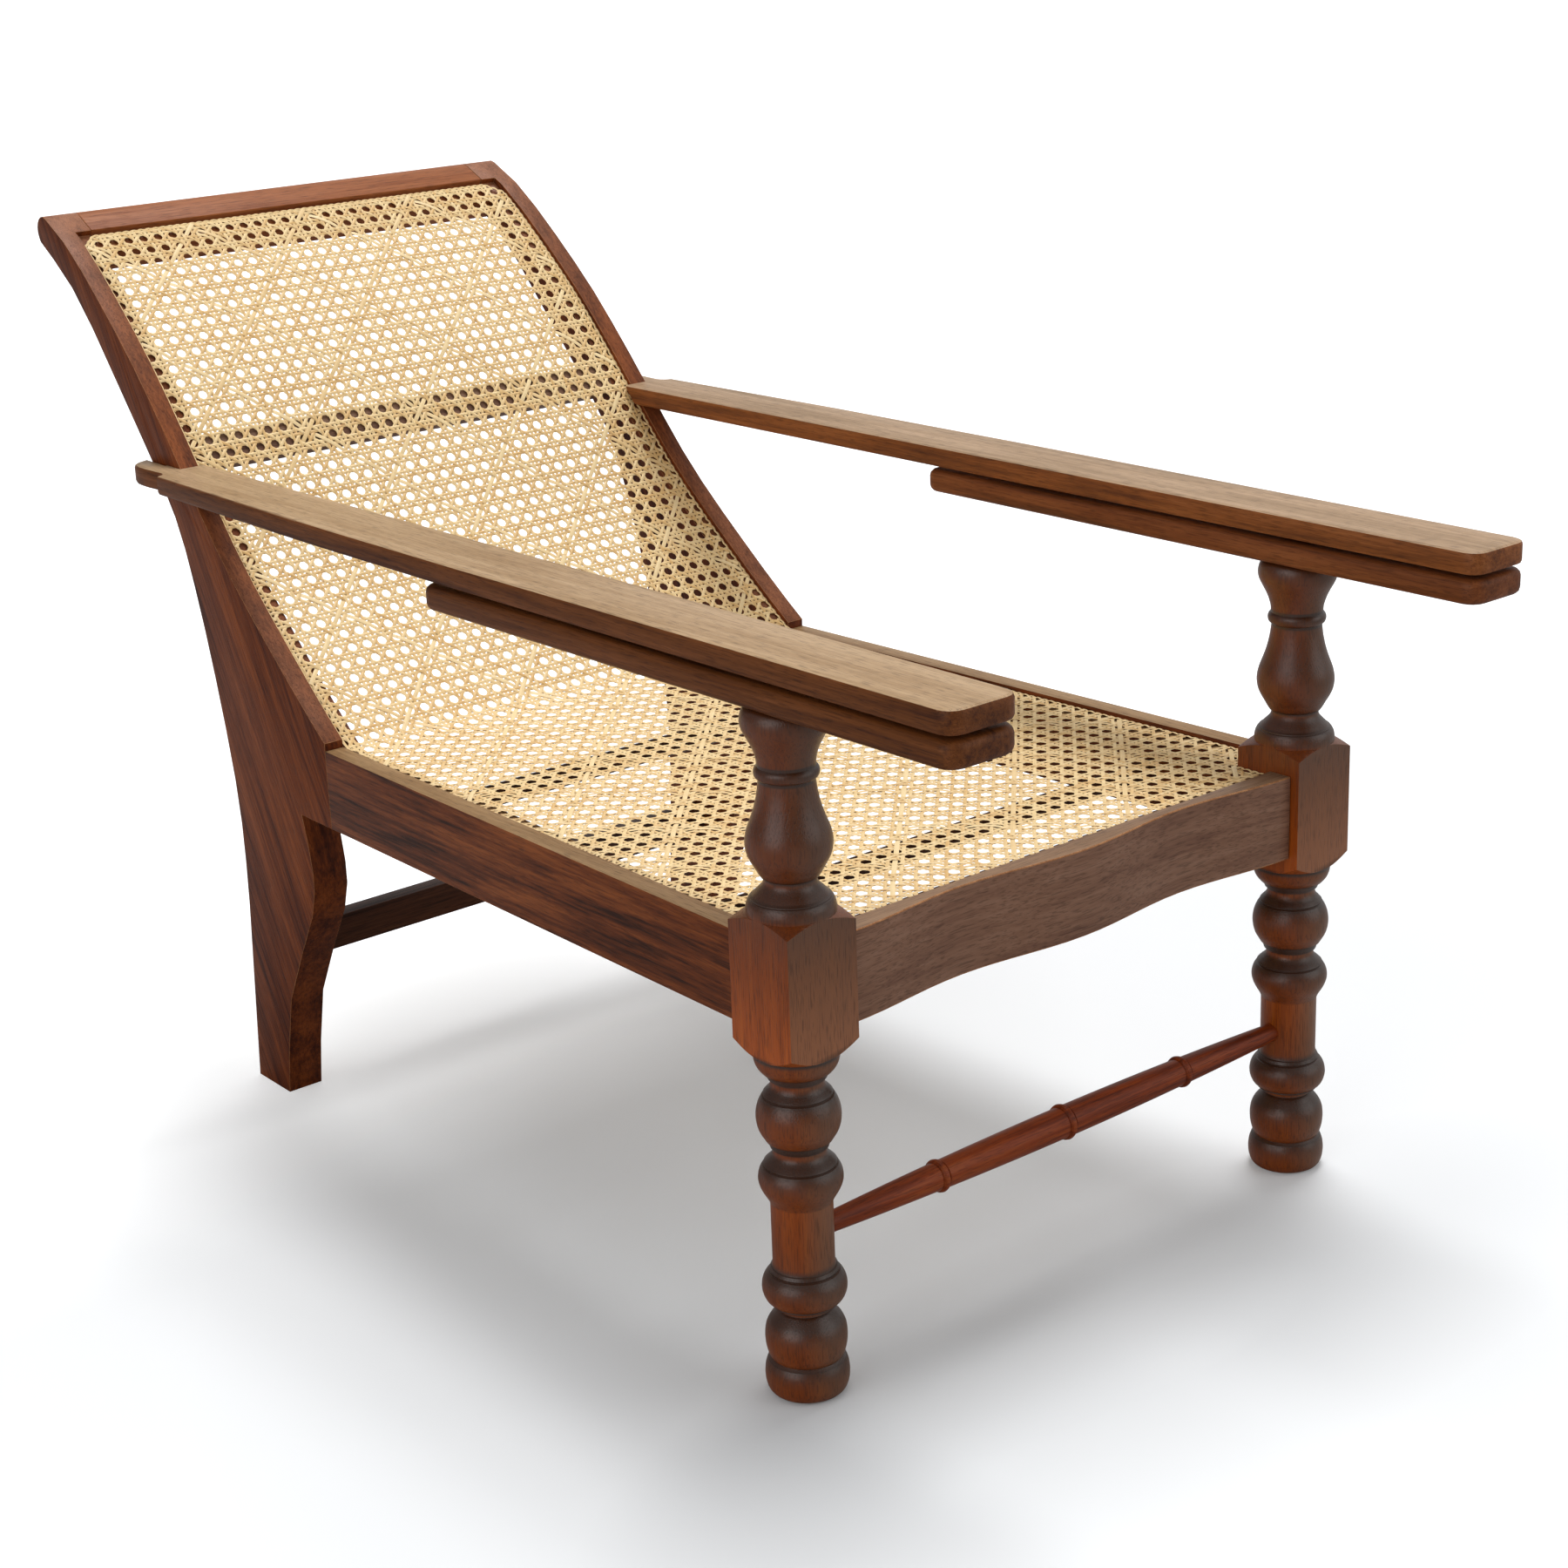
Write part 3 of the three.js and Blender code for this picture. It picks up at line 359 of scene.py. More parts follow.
# Boards and rails. Sawn from plank, planed, and their edges eased by hand with a scraper, so each
# is the CAD solid with its corners taken off by about a millimetre. Rails and planks take a paler
# wood along those edges. The leg rests take no painted light from above on their tops, as the
# arms cover them.
weld_mm = 0.01
flat_within = 0.4
ease_steps = 3
smooth_below = 30
board_ease = 0.8
rail_ease = 1.2
plank_ease = 1.6
board_arris = 50


def eased(source, name, ease, finish, body, angle=35, worn=None):
    """Copies a CAD node as a piece of its own, with every edge sharper than angle eased."""
    mesh = nodes[source].data.copy()
    piece = bpy.data.objects.new(name, mesh)
    bpy.context.collection.objects.link(piece)
    deselect()
    piece.select_set(True)
    bpy.context.view_layer.objects.active = piece
    bpy.ops.object.mode_set(mode="EDIT")
    bpy.ops.mesh.select_all(action="SELECT")
    bpy.ops.mesh.remove_doubles(threshold=weld_mm * MM)
    bpy.ops.mesh.dissolve_limited(angle_limit=radians(flat_within))
    bpy.ops.object.mode_set(mode="OBJECT")
    bevel = piece.modifiers.new("eased_edges", "BEVEL")
    bevel.width = ease * MM
    bevel.segments = ease_steps
    bevel.limit_method = "ANGLE"
    bevel.angle_limit = radians(angle)
    mesh.materials.clear()
    mesh.materials.append(finish)
    if worn:
        mesh.materials.append(worn)
        bevel.material = 1
    bpy.ops.object.modifier_apply(modifier=bevel.name)
    bpy.ops.object.shade_smooth_by_angle(angle=radians(smooth_below))
    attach(piece, body)
    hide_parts(source)


for side, arm_wood, rest_wood in (("left", arm_wood_left, rest_wood_left),
                                  ("right", arm_wood_right, rest_wood_right)):
    eased(f"side_rail_{side}", f"side_seat_rail_{side}", rail_ease, rail_wood, "frame",
          worn=worn_wood)
    eased(f"back_plank_{side}", f"rear_leg_plank_{side}", plank_ease, plank_wood, "frame",
          worn=worn_wood)
    eased(f"arm_{side}", f"arm_board_{side}", board_ease, arm_wood, "frame",
          board_arris)
    eased(f"leg_rest_{side}", f"leg_rest_board_{side}", board_ease, rest_wood, f"rest_{side}",
          board_arris)
eased("front_rail", "front_seat_rail", rail_ease, front_wood, "frame",
      worn=worn_wood)
for source, name, finish in (("top_rail", "head_rail", top_wood),
                             ("back_rail", "rear_seat_rail", front_wood),
                             ("rear_stretcher", "rear_leg_stretcher", rod_wood)):
    eased(source, name, rail_ease, finish, "frame")


# Front legs, turned from square stock. Each is a profile of runs of (radius, height) in mm, from
# the foot up, drawn through by a smooth curve with a sharp tool line wherever two runs meet, spun,
# and cut back to the square of its stock at the block, whose edges are then eased.
leg_runs = [
    [(0, 0), (23.5, 0)],
    [(23.5, 0), (30.5, 2.2), (33.8, 8), (34.9, 16), (34.2, 24), (32.2, 30)],
    [(32.2, 30), (29.6, 32.2)],
    [(29.6, 32.2), (31.6, 36), (33.4, 43.4), (33.9, 51.4), (32.9, 59.4), (30, 65.8), (25.6, 71.2),
     (22.8, 74.2)],
    [(22.8, 74.2), (21.7, 75), (21.6, 77.4), (22.8, 78.2)],
    [(22.8, 78.2), (28, 80.6)],
    [(28, 80.6), (27.7, 81.8)],
    [(27.7, 81.8), (31.2, 84.2), (33.6, 88.4), (34.8, 93), (34.9, 97), (34.1, 101.4),
     (32.3, 105.4), (29.6, 108.8)],
    [(29.6, 108.8), (28, 109.4), (28.4, 110.8)],
    [(28.4, 110.8), (27.3, 113.4)],
    [(27.3, 113.4), (26.2, 114)],
    [(26.2, 114), (25.5, 119)],
    [(25.5, 119), (25.5, 170.5)],
    [(25.5, 170.5), (26.9, 174), (28.8, 177.4), (31.2, 181.4), (33.3, 186), (34.5, 190.8),
     (34.3, 195.6), (32.9, 200.2), (30.8, 203.6)],
    [(30.8, 203.6), (29.4, 204.2), (29.9, 205.6)],
    [(29.9, 205.6), (27.4, 208), (24.6, 210.4), (22.4, 213), (21.4, 216), (21.5, 219)],
    [(21.5, 219), (23.8, 219.8)],
    [(23.8, 219.8), (25.4, 225)],
    [(25.4, 225), (27.2, 226)],
    [(27.2, 226), (29.9, 230.4), (32, 234.2), (33.6, 239), (34.5, 245.6), (34.1, 252),
     (32.6, 257.6), (30.8, 261.6), (29.2, 264.2)],
    [(29.2, 264.2), (27.7, 265), (28.2, 266.4)],
    [(28.2, 266.4), (26, 268.8), (23.6, 271.2), (22.1, 274), (21.5, 277), (21.9, 279.2)],
    [(21.9, 279.2), (24, 280)],
    [(24, 280), (25.8, 284.8)],
    [(25.8, 284.8), (28.4, 285.8)],
    [(28.4, 285.8), (31.2, 289), (33.2, 292.4), (34.6, 297), (35.3, 302.5)],
    [(35.3, 302.5), (39, 304.6), (50.6, 313)],
    [(50.6, 313), (50.6, 413)],
    [(50.6, 413), (39, 419), (35.8, 420.6)],
    [(35.8, 420.6), (35.9, 424.6), (34.8, 429.4), (33.2, 432.2)],
    [(33.2, 432.2), (32.2, 432.6), (32.2, 433.6)],
    [(32.2, 433.6), (30.6, 434.4)],
    [(30.6, 434.4), (28, 437.2), (24.4, 440.8), (22, 443.8), (21.1, 446.6), (21.1, 449)],
    [(21.1, 449), (22.9, 449.8)],
    [(22.9, 449.8), (25.4, 453.6), (27.4, 457.4), (30, 461.8), (32.6, 467), (34.1, 472.4),
     (34.6, 478), (33.9, 484), (32.3, 489.8), (30.1, 495.6), (28, 501.4), (26.1, 507.6),
     (24.6, 514), (23.4, 520.4), (22.5, 528)],
    [(22.5, 528), (22.9, 529.8)],
    [(22.9, 529.8), (25, 531.6), (25.9, 534.8), (25.2, 538), (23.3, 540)],
    [(23.3, 540), (23.2, 542), (23.6, 546), (24.6, 550), (26.2, 554.6), (28.4, 559.4),
     (31, 564.4), (33.4, 569), (34.9, 573.6), (35.1, 578), (34.1, 583), (31.8, 586.8),
     (29, 588.6)],
    [(29, 588.6), (15, 588.7), (15, 614.6)],
    [(15, 614.6), (0, 614.6)],
]
leg_x = 300
leg_axis_y = -485.386
leg_half_stock = 35.5
lathe_steps = 64
profile_step = 1.6
block_ease = 0.9
block_arris = 50
turning_smooth_below = 28


def through(points, step):
    """Catmull-Rom curve through the points, drawn at about the step."""
    points = [Vector(point) for point in points]
    drawn = [points[0]]
    for i in range(len(points) - 1):
        a, b, c, d = (points[max(i - 1, 0)], points[i], points[i + 1],
                      points[min(i + 2, len(points) - 1)])
        count = max(1, round((c - b).length / step)) if len(points) > 2 else 1
        for k in range(1, count + 1):
            t = k / count
            drawn.append((2 * b + (c - a) * t + (2 * a - 5 * b + 4 * c - d) * t * t
                          + (3 * b - a - 3 * c + d) * t * t * t) / 2)
    return drawn


def profile_of(runs, step):
    """One profile from runs that each start where the last one ends."""
    drawn = [Vector(runs[0][0])]
    for run in runs:
        drawn += through(run, step)[1:]
    return drawn


def lathe(name, profile, steps, place, lying=False):
    """Spins [radius, height] points in mm about Z, or about X where the piece lies across."""
    mesh = bpy.data.meshes.new(name)
    if lying:
        corners = [(h * MM, 0, r * MM) for r, h in profile]
    else:
        corners = [(r * MM, 0, h * MM) for r, h in profile]
    mesh.from_pydata(corners, [(i, i + 1) for i in range(len(corners) - 1)], [])
    piece = bpy.data.objects.new(name, mesh)
    bpy.context.collection.objects.link(piece)
    deselect()
    piece.select_set(True)
    bpy.context.view_layer.objects.active = piece
    spin = piece.modifiers.new("spin", "SCREW")
    spin.axis = "X" if lying else "Z"
    spin.steps = steps
    spin.render_steps = steps
    spin.use_merge_vertices = True
    spin.merge_threshold = weld_mm * MM
    bpy.ops.object.modifier_apply(modifier=spin.name)
    mesh.transform(Matrix.Translation(Vector(place) * MM))
    bpy.ops.object.mode_set(mode="EDIT")
    bpy.ops.mesh.select_all(action="SELECT")
    bpy.ops.mesh.normals_make_consistent(inside=False)
    bpy.ops.object.mode_set(mode="OBJECT")
    return piece


leg_profile = profile_of(leg_runs, profile_step)

# Wax and dust darken the turnings: thinly all over, thickly on the shoulders that face up and a
# little below them, and in each tool line, where the darkening is also painted shade under the
# line's edge. The rings at 300.5 and 302 mm are painted shade under the block. The block between
# them is clean. Heights are in mm, and a depth of 1 would hide the wood.
wax_and_shade_lines = (31.5, 81.2, 109.6, 113.8, 204.4, 219.6, 225.6, 265.2, 279.6, 285.4, 300.5, 302, 433,
              449.5, 529, 541)
wax_and_shade_line_depth = 0.6
wax_and_shade_line_width = 1.1
block_from, block_to, neck_from, upper_from = 303, 408, 420, 422
shaft_from, shaft_to = 120, 172
bead_wax, shaft_wax, upper_wax, block_top_wax, most_wax = 0.48, 0.26, 0.66, 0.6, 0.92
bead_shoulder_wax, upper_shoulder_wax = 0.42, 0.2
shoulder_least, shoulder_range = 0.1, 0.45
shoulder_spread = 5
wax_run = 16
wax_heights = np.arange(0, 620, 0.5)
turned_radius = np.interp(wax_heights, [h for r, h in leg_profile], [r for r, h in leg_profile])
evened = np.convolve(turned_radius, np.ones(shoulder_spread) / shoulder_spread, "same")
lean = -np.gradient(evened, wax_heights)
lean = np.clip((lean / np.sqrt(1 + lean ** 2) - shoulder_least) / shoulder_range, 0, 1)
shoulder = np.max([np.interp(wax_heights + fall, wax_heights, lean) * (1 - fall / wax_run)
                   for fall in range(0, wax_run, 2)], axis=0)
upper = wax_heights > neck_from
shaft = (wax_heights > shaft_from) & (wax_heights < shaft_to)
wax_and_shade_depth = np.select([upper, shaft], [upper_wax, shaft_wax], bead_wax)
wax_and_shade_depth += np.where(upper, upper_shoulder_wax, bead_shoulder_wax) * shoulder
for height in wax_and_shade_lines:
    wax_and_shade_depth += wax_and_shade_line_depth * np.exp(-((wax_heights - height) / wax_and_shade_line_width) ** 2)
wax_and_shade_depth[(wax_heights > block_from) & (wax_heights < block_to)] = 0
wax_and_shade_depth[(wax_heights >= block_to) & (wax_heights < upper_from)] = block_top_wax
wax_and_shade_depth = np.clip(wax_and_shade_depth, 0, most_wax)
for side, leg_place_x in (("left", -leg_x), ("right", leg_x)):
    leg = lathe(f"turned_leg_{side}", leg_profile, lathe_steps, (leg_place_x, leg_axis_y, 0))
    bpy.ops.object.mode_set(mode="EDIT")
    for facing in ((1, 0, 0), (-1, 0, 0), (0, 1, 0), (0, -1, 0)):
        bpy.ops.mesh.select_all(action="SELECT")
        cut_at = Vector((leg_place_x, leg_axis_y, 0)) + Vector(facing) * leg_half_stock
        bpy.ops.mesh.bisect(plane_co=cut_at * MM, plane_no=facing, use_fill=True,
                            clear_outer=True)
    bpy.ops.object.mode_set(mode="OBJECT")
    bevel = leg.modifiers.new("block_edges", "BEVEL")
    bevel.width = block_ease * MM
    bevel.segments = ease_steps
    bevel.limit_method = "ANGLE"
    bevel.angle_limit = radians(block_arris)
    leg.data.materials.append(turned_wood)
    bpy.ops.object.modifier_apply(modifier=bevel.name)
    bpy.ops.object.shade_smooth_by_angle(angle=radians(turning_smooth_below))
    heights = np.array([(leg.matrix_world @ v.co).z for v in leg.data.vertices]) / MM
    # Each vertex takes its waxy dust and painted shade by its height.
    wax_and_shade_layer = leg.data.attributes.new("wax_and_painted_shade", "FLOAT", "POINT")
    wax_and_shade_layer.data.foreach_set("value", np.interp(heights, wax_heights, wax_and_shade_depth))
    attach(leg, "frame")
    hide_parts(f"front_leg_{side}")


# Front stretcher. A slim spindle, full in the middle, with three rings turned on it; each ring is a
# round bead between two fine grooves. Sizes are in mm along and out from the spindle.
stretcher_z = 140
stretcher_reach = 276
spindle_end_radius = 8.4
spindle_swell = 5.6
spindle_step = 20
rings = (-150, 0, 150)
ring_bead = ((0.2, -3.2), (1.8, -1.9), (2.3, 0), (1.8, 1.9), (0.2, 3.2))
groove_depth = 0.9
groove_place = 3.7
groove_edge = 4.4
stretcher_profile_step = 1.5
stretcher_lathe_steps = 40
stretcher_smooth_below = 35


def spindle_radius(x):
    return spindle_end_radius + spindle_swell * (1 - (x / stretcher_reach) ** 2)


def plain_run(start, end):
    """The spindle's profile between two places along it."""
    count = max(2, round((end - start) / spindle_step))
    places = [start + (end - start) * i / count for i in range(count + 1)]
    return [(spindle_radius(x), x) for x in places]


start = -stretcher_reach
stretcher_runs = [[(0, start), (spindle_radius(start), start)]]
for ring in rings:
    waist = spindle_radius(ring)
    bead = [(waist + rise, ring + x) for rise, x in ring_bead]
    before = plain_run(start, ring - groove_edge)
    start = ring + groove_edge
    stretcher_runs += [before,
                       [before[-1], (waist - groove_depth, ring - groove_place), bead[0]],
                       bead,
                       [bead[-1], (waist - groove_depth, ring + groove_place),
                        (spindle_radius(start), start)]]
tail = plain_run(start, stretcher_reach)
stretcher_runs += [tail, [tail[-1], (0, stretcher_reach)]]
stretcher = lathe("turned_front_stretcher", profile_of(stretcher_runs, stretcher_profile_step),
                  stretcher_lathe_steps, (0, leg_axis_y, stretcher_z), lying=True)
bpy.ops.object.shade_smooth_by_angle(angle=radians(stretcher_smooth_below))
stretcher.data.materials.append(stretcher_wood)
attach(stretcher, "frame")
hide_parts("front_stretcher")


# Two plain round rods below the cane, and the blind dowels in the arms, which stay as the CAD has
# them and only take the wood's finish.
for source in ("seat_rod_front", "seat_rod_rear", "arm_dowel_left", "arm_dowel_right"):
    nodes[source].data.materials.clear()
    nodes[source].data.materials.append(rod_wood)


# Woven cane. One sheet of seven-way weave on seat and back: pairs of strands along and across it,
# diagonals both ways that leave eight-sided holes, and at every eighth hole a wide binder each way,
# which lays diamonds over it. Counted and placed from the photograph, 17 mm from hole to hole.
#
# Sizes are in mm. The sheet follows the line of the frame's edge, given here from the front of the
# seat to the top of the back, as a straight seat and shares of the back's run and rise.
seat_depth = 668
seat_top = 399
back_run = 507
back_rise = 461
sheet_front = -3
stile_shares = [(0, 0), (0.136, 0.117), (0.357, 0.332), (0.548, 0.577), (0.686, 0.742),
                (0.878, 0.926), (0.988, 0.996)]
sheet_below_face = 4.4
bend_reach = 16
bend_samples = 9
top_gap = 33
edge_step = 4
table_step = 2.0
table_beyond = 40
edge_line = [Vector((sheet_front, seat_top))] + through(
    [(seat_depth + run * back_run, seat_top + rise * back_rise) for run, rise in stile_shares],
    edge_step)
edge_line = np.array([point[:] for point in edge_line])
edge_steps = np.r_[0, np.cumsum(np.hypot(*np.diff(edge_line, axis=0).T))]
sheet_length = edge_steps[-1] - top_gap
table_v = np.arange(-table_beyond, edge_steps[-1] + table_beyond, table_step)


def on_edge_line(v):
    """Points of the frame's edge line at distances along it, run on straight beyond its ends."""
    inside = np.clip(v, 0, edge_steps[-1])
    points = np.stack([np.interp(inside, edge_steps, edge_line[:, k]) for k in (0, 1)], -1)
    first = (edge_line[1] - edge_line[0]) / np.hypot(*(edge_line[1] - edge_line[0]))
    last = (edge_line[-1] - edge_line[-2]) / np.hypot(*(edge_line[-1] - edge_line[-2]))
    beyond = (v - inside)[:, None]
    return points + np.where(beyond < 0, beyond * first, beyond * last)


offsets = np.linspace(-bend_reach, bend_reach, bend_samples)
table_points = np.mean([on_edge_line(table_v + shift) for shift in offsets], axis=0)
table_along = np.gradient(table_points, axis=0)
table_along /= np.hypot(*table_along.T)[:, None]
table_normal = np.stack([-table_along[:, 1], table_along[:, 0]], -1)


def sheet_to_chair(sheet):
    """Across, along and above the sheet, in mm, to the row's metres."""
    u, v, w = sheet.T
    base = np.stack([np.interp(v, table_v, table_points[:, k]) for k in (0, 1)], -1)
    up = np.stack([np.interp(v, table_v, table_normal[:, k]) for k in (0, 1)], -1)
    yz = base + up * (w - sheet_below_face)[:, None]
    return np.stack([u, yz[:, 0] + leg_axis_y, yz[:, 1]], -1) * MM


pitch_front = 17.41
pitch_top = 17.04
row_pitch = 17.339
first_row = 30.93
middle_front = 8.4
middle_top = 2.5
stretch_from = 75
stretch_length = 1205
stretch_limits = (-0.1, 1.05)
row_sag = 5.0
sag_start = 40
sag_fade = 260
sag_half_width = 300


def sheet_place(a, b):
    """Place on the sheet of column a and row b, with the stretch that the photo shows."""
    v = first_row + row_pitch * b
    share = np.clip((v - stretch_from) / stretch_length, *stretch_limits)
    u = middle_front + (middle_top - middle_front) * share
    u = u + a * (pitch_front + (pitch_top - pitch_front) * share)
    sag = row_sag * np.exp(-np.maximum(v, 0) / sag_fade)
    sag = sag * np.clip(1 - (u / sag_half_width) ** 2, 0, 1)
    return np.stack([u, v + sag * np.clip(v / sag_start, 0, 1)], -1)


half_at_legs = 305.7
taper = 0.0382
corner_cut = 17
block_x = 263.5
block_v = 39.5
front_margin = 1.0


def room(u, v):
    """How far a place on the sheet lies inside its outline."""
    y = np.interp(v, table_v, table_points[:, 0])
    half = half_at_legs - taper * y
    corner = (half + sheet_length - corner_cut - np.abs(u) - v) / sqrt(2)
    block = np.maximum(block_x - np.abs(u), v - block_v)
    return np.min([half - np.abs(u), v - front_margin, sheet_length - v, corner, block], axis=0)


shortest_strand = 4


def strands_mesh(name, paths, width, crown, finish):
    """Ribbons with a crowned top along paths of (across, along, above) points."""
    corners, faces = [], []
    total = 0
    for path in paths:
        along = np.gradient(path[:, :2], axis=0)
        along /= np.hypot(*along.T)[:, None]
        side = np.stack([-along[:, 1], along[:, 0], np.zeros(len(path))], -1) * width / 2
        lift = np.array([0, 0, crown])
        ring = np.stack([path + side, path + lift, path - side], 1).reshape(-1, 3)
        corners.append(sheet_to_chair(ring))
        count = len(path)
        for i in range(count - 1):
            p = total + 3 * i
            faces += [(p, p + 1, p + 4, p + 3), (p + 1, p + 2, p + 5, p + 4),
                      (p + 2, p, p + 3, p + 5)]
        faces += [(total + 2, total + 1, total),
                  (total + 3 * count - 3, total + 3 * count - 2, total + 3 * count - 1)]
        total += 3 * count
    mesh = bpy.data.meshes.new(name)
    mesh.from_pydata(np.concatenate(corners).tolist(), [], faces)
    piece = bpy.data.objects.new(name, mesh)
    bpy.context.collection.objects.link(piece)
    mesh.materials.append(finish)
    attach(piece, "frame")
    return piece


def within(path, margin):
    """The runs of a path that lie inside the sheet's outline, ended on the outline itself."""
    clear = room(path[:, 0], path[:, 1]) - margin
    runs, run = [], []
    for i, point in enumerate(path):
        if i and (clear[i] > 0) != (clear[i - 1] > 0):
            t = clear[i - 1] / (clear[i - 1] - clear[i])
            run.append(path[i - 1] + (point - path[i - 1]) * t)
            if clear[i] <= 0:
                runs.append(np.array(run))
                run = []
        if clear[i] > 0:
            run.append(point)
    if run:
        runs.append(np.array(run))
    return [r for r in runs if len(r) > 1 and np.hypot(*(r[-1] - r[0])[:2]) > shortest_strand]


pair_gap = 2.45
weave_lift = 0.35
diagonal_lift = 0.65
binder_lift = 0.95
under_border = 3.0
clear_of_border = 11.0
clear_of_top = 7
least_clear_share = 0.3
a_range = np.arange(-19, 20)
b_range = np.arange(-2, 78)


def lengthwise():
    """Pairs of strands along the sheet, left out where one would run along the border."""
    paths = []
    share = pair_gap / row_pitch
    for a in a_range:
        for twin in (-1, 1):
            b = np.sort(np.concatenate([b_range - share, b_range + share]))
            first = np.arange(len(b)) % 2 == 0
            w = np.where(first, -twin, twin) * weave_lift
            flat = sheet_place(np.full(len(b), float(a)), b)
            flat[:, 0] += twin * pair_gap
            path = np.column_stack([flat, w])
            paths += [r for r in within(path, under_border)
                      if (room(r[:, 0], r[:, 1])[1:-1] > clear_of_border).mean()
                      > least_clear_share]
    return paths


def crosswise():
    """Pairs of strands across the sheet, which weave with the lengthwise ones."""
    paths = []
    share = pair_gap / pitch_front
    for b in b_range:
        if not clear_of_border < first_row + row_pitch * b < sheet_length - clear_of_top:
            continue
        for twin in (-1, 1):
            a = np.sort(np.concatenate([a_range - share, a_range + share]))
            first = np.arange(len(a)) % 2 == 0
            w = np.where(first, twin, -twin) * weave_lift
            flat = sheet_place(a, np.full(len(a), float(b)))
            flat[:, 1] += twin * pair_gap
            paths += within(np.column_stack([flat, w]), under_border)
    return paths


diagonal_lines = range(-100, 100)
half_columns = np.arange(-20, 20, 0.5)
plateau = 0.2


def diagonals(rising):
    """Single strands that pass over one set of pairs and under the other."""
    paths = []
    for m in diagonal_lines:
        a = np.sort(np.concatenate([half_columns - plateau / 2, half_columns + plateau / 2]))
        b = (a - m - 0.5) if rising else (m + 0.5 - a)
        nearest = np.round(a * 2) / 2
        over_column = np.isclose(nearest % 1, 0)
        w = np.where(over_column == rising, diagonal_lift, -diagonal_lift)
        paths += within(np.column_stack([sheet_place(a, b), w]), under_border)
    return paths


binder_lines = range(-104, 112, 8)
binder_columns = np.arange(-20, 20.01, 0.25)
rising_line = 6
falling_line = 2
crossing_reach = 0.3
midway = 0.5
between_lift = 0.2


def binders(rising):
    """Wide strands through the middles of every eighth line of holes, over every other node."""
    paths = []
    for m in binder_lines:
        a = binder_columns
        line = m + (rising_line if rising else falling_line)
        b = (a - line) if rising else (line - a)
        crossing = np.round(b)
        off_crossing = np.abs(b - crossing)
        over = (crossing % 2 == 0) == rising
        w = np.where(over, binder_lift, -binder_lift)
        on_top = over & (off_crossing < midway)
        between = (off_crossing >= crossing_reach) & ~on_top
        w = np.where(between, between_lift, w)
        paths += within(np.column_stack([sheet_place(a, b), w]), under_border)
    return paths


# Cane strand. Split from the skin of rattan: a hard pale straw-coloured bark with fine streaks,
# brown flecks where leaves grew, and a soft gloss. Shades drift over about 18 mm, flecks are some
# 5 mm apart, and every strand has a shade of its own.
clouds_per_metre = 55.0
flecks_per_metre = 210.0
own_shade_share = 0.55
deep_at, pale_at = 0.2, 0.6
fleck_edge = (0.66, 0.76)
fleck_strength = 0.7
cane_roughness = 0.55


def cane_bark(name, pale, deep, fleck):
    made = bpy.data.materials.new(name)
    made.use_nodes = True
    tree = made.node_tree
    shader = tree.nodes["Principled BSDF"]
    place = node(tree, "ShaderNodeTexCoord")
    piece = node(tree, "ShaderNodeNewGeometry")
    cloud = node(tree, "ShaderNodeTexNoise", {"Vector": place.outputs["Object"],
                                              "Scale": clouds_per_metre, "Detail": 3.0})
    mixed = node(tree, "ShaderNodeMix", {"Factor": own_shade_share, "A": cloud.outputs["Fac"],
                                         "B": piece.outputs["Random Per Island"]},
                 data_type="FLOAT")
    ramp = node(tree, "ShaderNodeValToRGB", {"Fac": out(mixed, "Result")})
    ramp.color_ramp.elements[0].position = deep_at
    ramp.color_ramp.elements[0].color = linear(deep)
    ramp.color_ramp.elements[1].position = pale_at
    ramp.color_ramp.elements[1].color = linear(pale)
    spots = node(tree, "ShaderNodeTexNoise", {"Vector": place.outputs["Object"],
                                              "Scale": flecks_per_metre, "Detail": 2.0})
    mark = node(tree, "ShaderNodeMapRange", {"Value": spots.outputs["Fac"],
                                             "From Min": fleck_edge[0],
                                             "From Max": fleck_edge[1],
                                             "To Max": fleck_strength})
    coloured = node(tree, "ShaderNodeMix", {"Factor": mark.outputs[0],
                                            "A": ramp.outputs["Color"], "B": linear(fleck)},
                    data_type="RGBA")
    tree.links.new(out(coloured, "Result"), shader.inputs["Base Color"])
    shader.inputs["Roughness"].default_value = cane_roughness
    return made


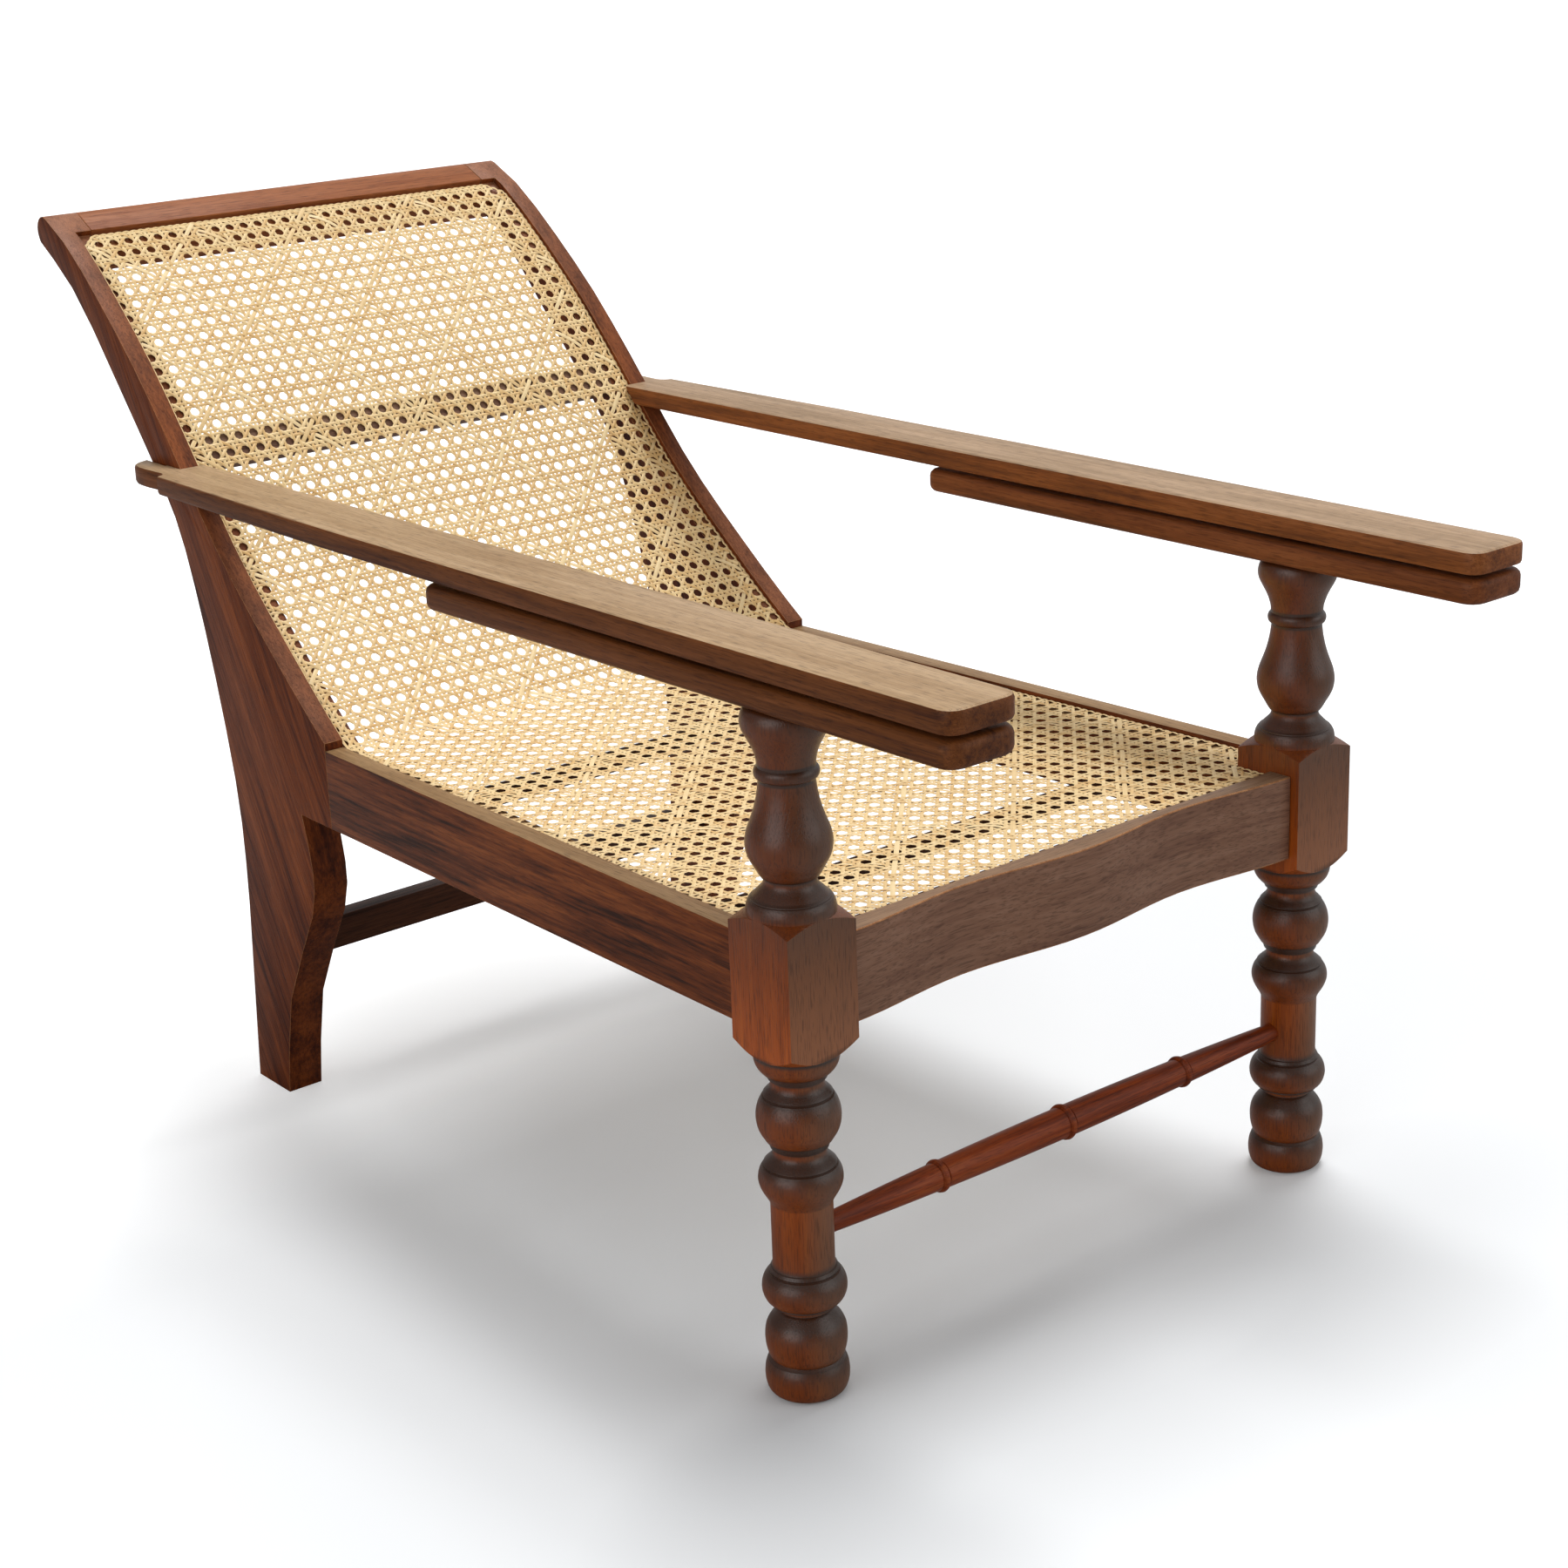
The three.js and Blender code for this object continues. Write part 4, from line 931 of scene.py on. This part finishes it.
strand_cane = cane_bark("split_cane", "f3d59d", "e0b675", "b87e42")
binder_cane = cane_bark("binder_cane", "f5daa5", "e5c083", "c48e4e")
strand_width = 3.3
pair_crown = 0.6
diagonal_crown = 0.5
binder_width = 4.4
binder_crown = 0.3
woven = [
    strands_mesh(name, paths, width, crown, finish)
    for name, paths, width, crown, finish in (
        ("cane_lengthwise", lengthwise(), strand_width, pair_crown, strand_cane),
        ("cane_crosswise", crosswise(), strand_width, pair_crown, strand_cane),
        ("cane_diagonal_rising", diagonals(True), strand_width, diagonal_crown, strand_cane),
        ("cane_diagonal_falling", diagonals(False), strand_width, diagonal_crown, strand_cane),
        ("cane_binder_rising", binders(True), binder_width, binder_crown, binder_cane),
        ("cane_binder_falling", binders(False), binder_width, binder_crown, binder_cane))]
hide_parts("cane_seat", "cane_back")


# Edge of the sheet. A flat strand of binding cane lies over the ends of the weave all round, drawn
# down at the laces, so that its outline swells a little between them.
border_width = 2.8
border_crown = 0.6
border_inset = 0.6
border_lift = 0.6
border_step = 2.2
lace_pitch = 8.6
lace_draw = 0.8
swell = 0.8
side_points = 180
end_points = 120


def outline_points():
    """The sheet's outline, up the left side, over the top, down the right and along the front."""
    high = half_at_legs - taper * np.interp(sheet_length, table_v, table_points[:, 0])
    side_v = np.linspace(block_v, sheet_length - corner_cut, side_points)
    side_u = half_at_legs - taper * np.interp(side_v, table_v, table_points[:, 0])
    left = np.column_stack([-side_u, side_v])
    top = np.column_stack([np.linspace(-(high - corner_cut), high - corner_cut, end_points),
                           np.full(end_points, sheet_length)])
    right = np.column_stack([side_u, side_v])[::-1]
    inner = np.array([(block_x, block_v), (block_x, front_margin)])
    front = np.column_stack([np.linspace(block_x, -block_x, end_points),
                             np.full(end_points, front_margin)])
    close = np.array([(-block_x, block_v)])
    corners = np.concatenate([left, top, right, inner, front[1:], close, left[:1]])
    steps = np.r_[0, np.cumsum(np.hypot(*np.diff(corners, axis=0).T))]
    even = np.arange(0, steps[-1], border_step)
    return np.column_stack([np.interp(even, steps, corners[:, k]) for k in (0, 1)]), even


line, travelled = outline_points()
heading = np.gradient(line, axis=0)
heading /= np.hypot(*heading.T)[:, None]
inward = np.column_stack([heading[:, 1], -heading[:, 0]])
wave = np.abs(np.sin(pi * travelled / lace_pitch))
inset = border_width / 2 + border_inset - swell * wave[:, None]
border_path = np.column_stack([line + inward * inset, border_lift - lace_draw * (1 - wave)])
border = strands_mesh("cane_border", [border_path], border_width, border_crown, strand_cane)
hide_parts("cane_binding_left", "cane_binding_right", "cane_binding_front",
            "cane_binding_top")
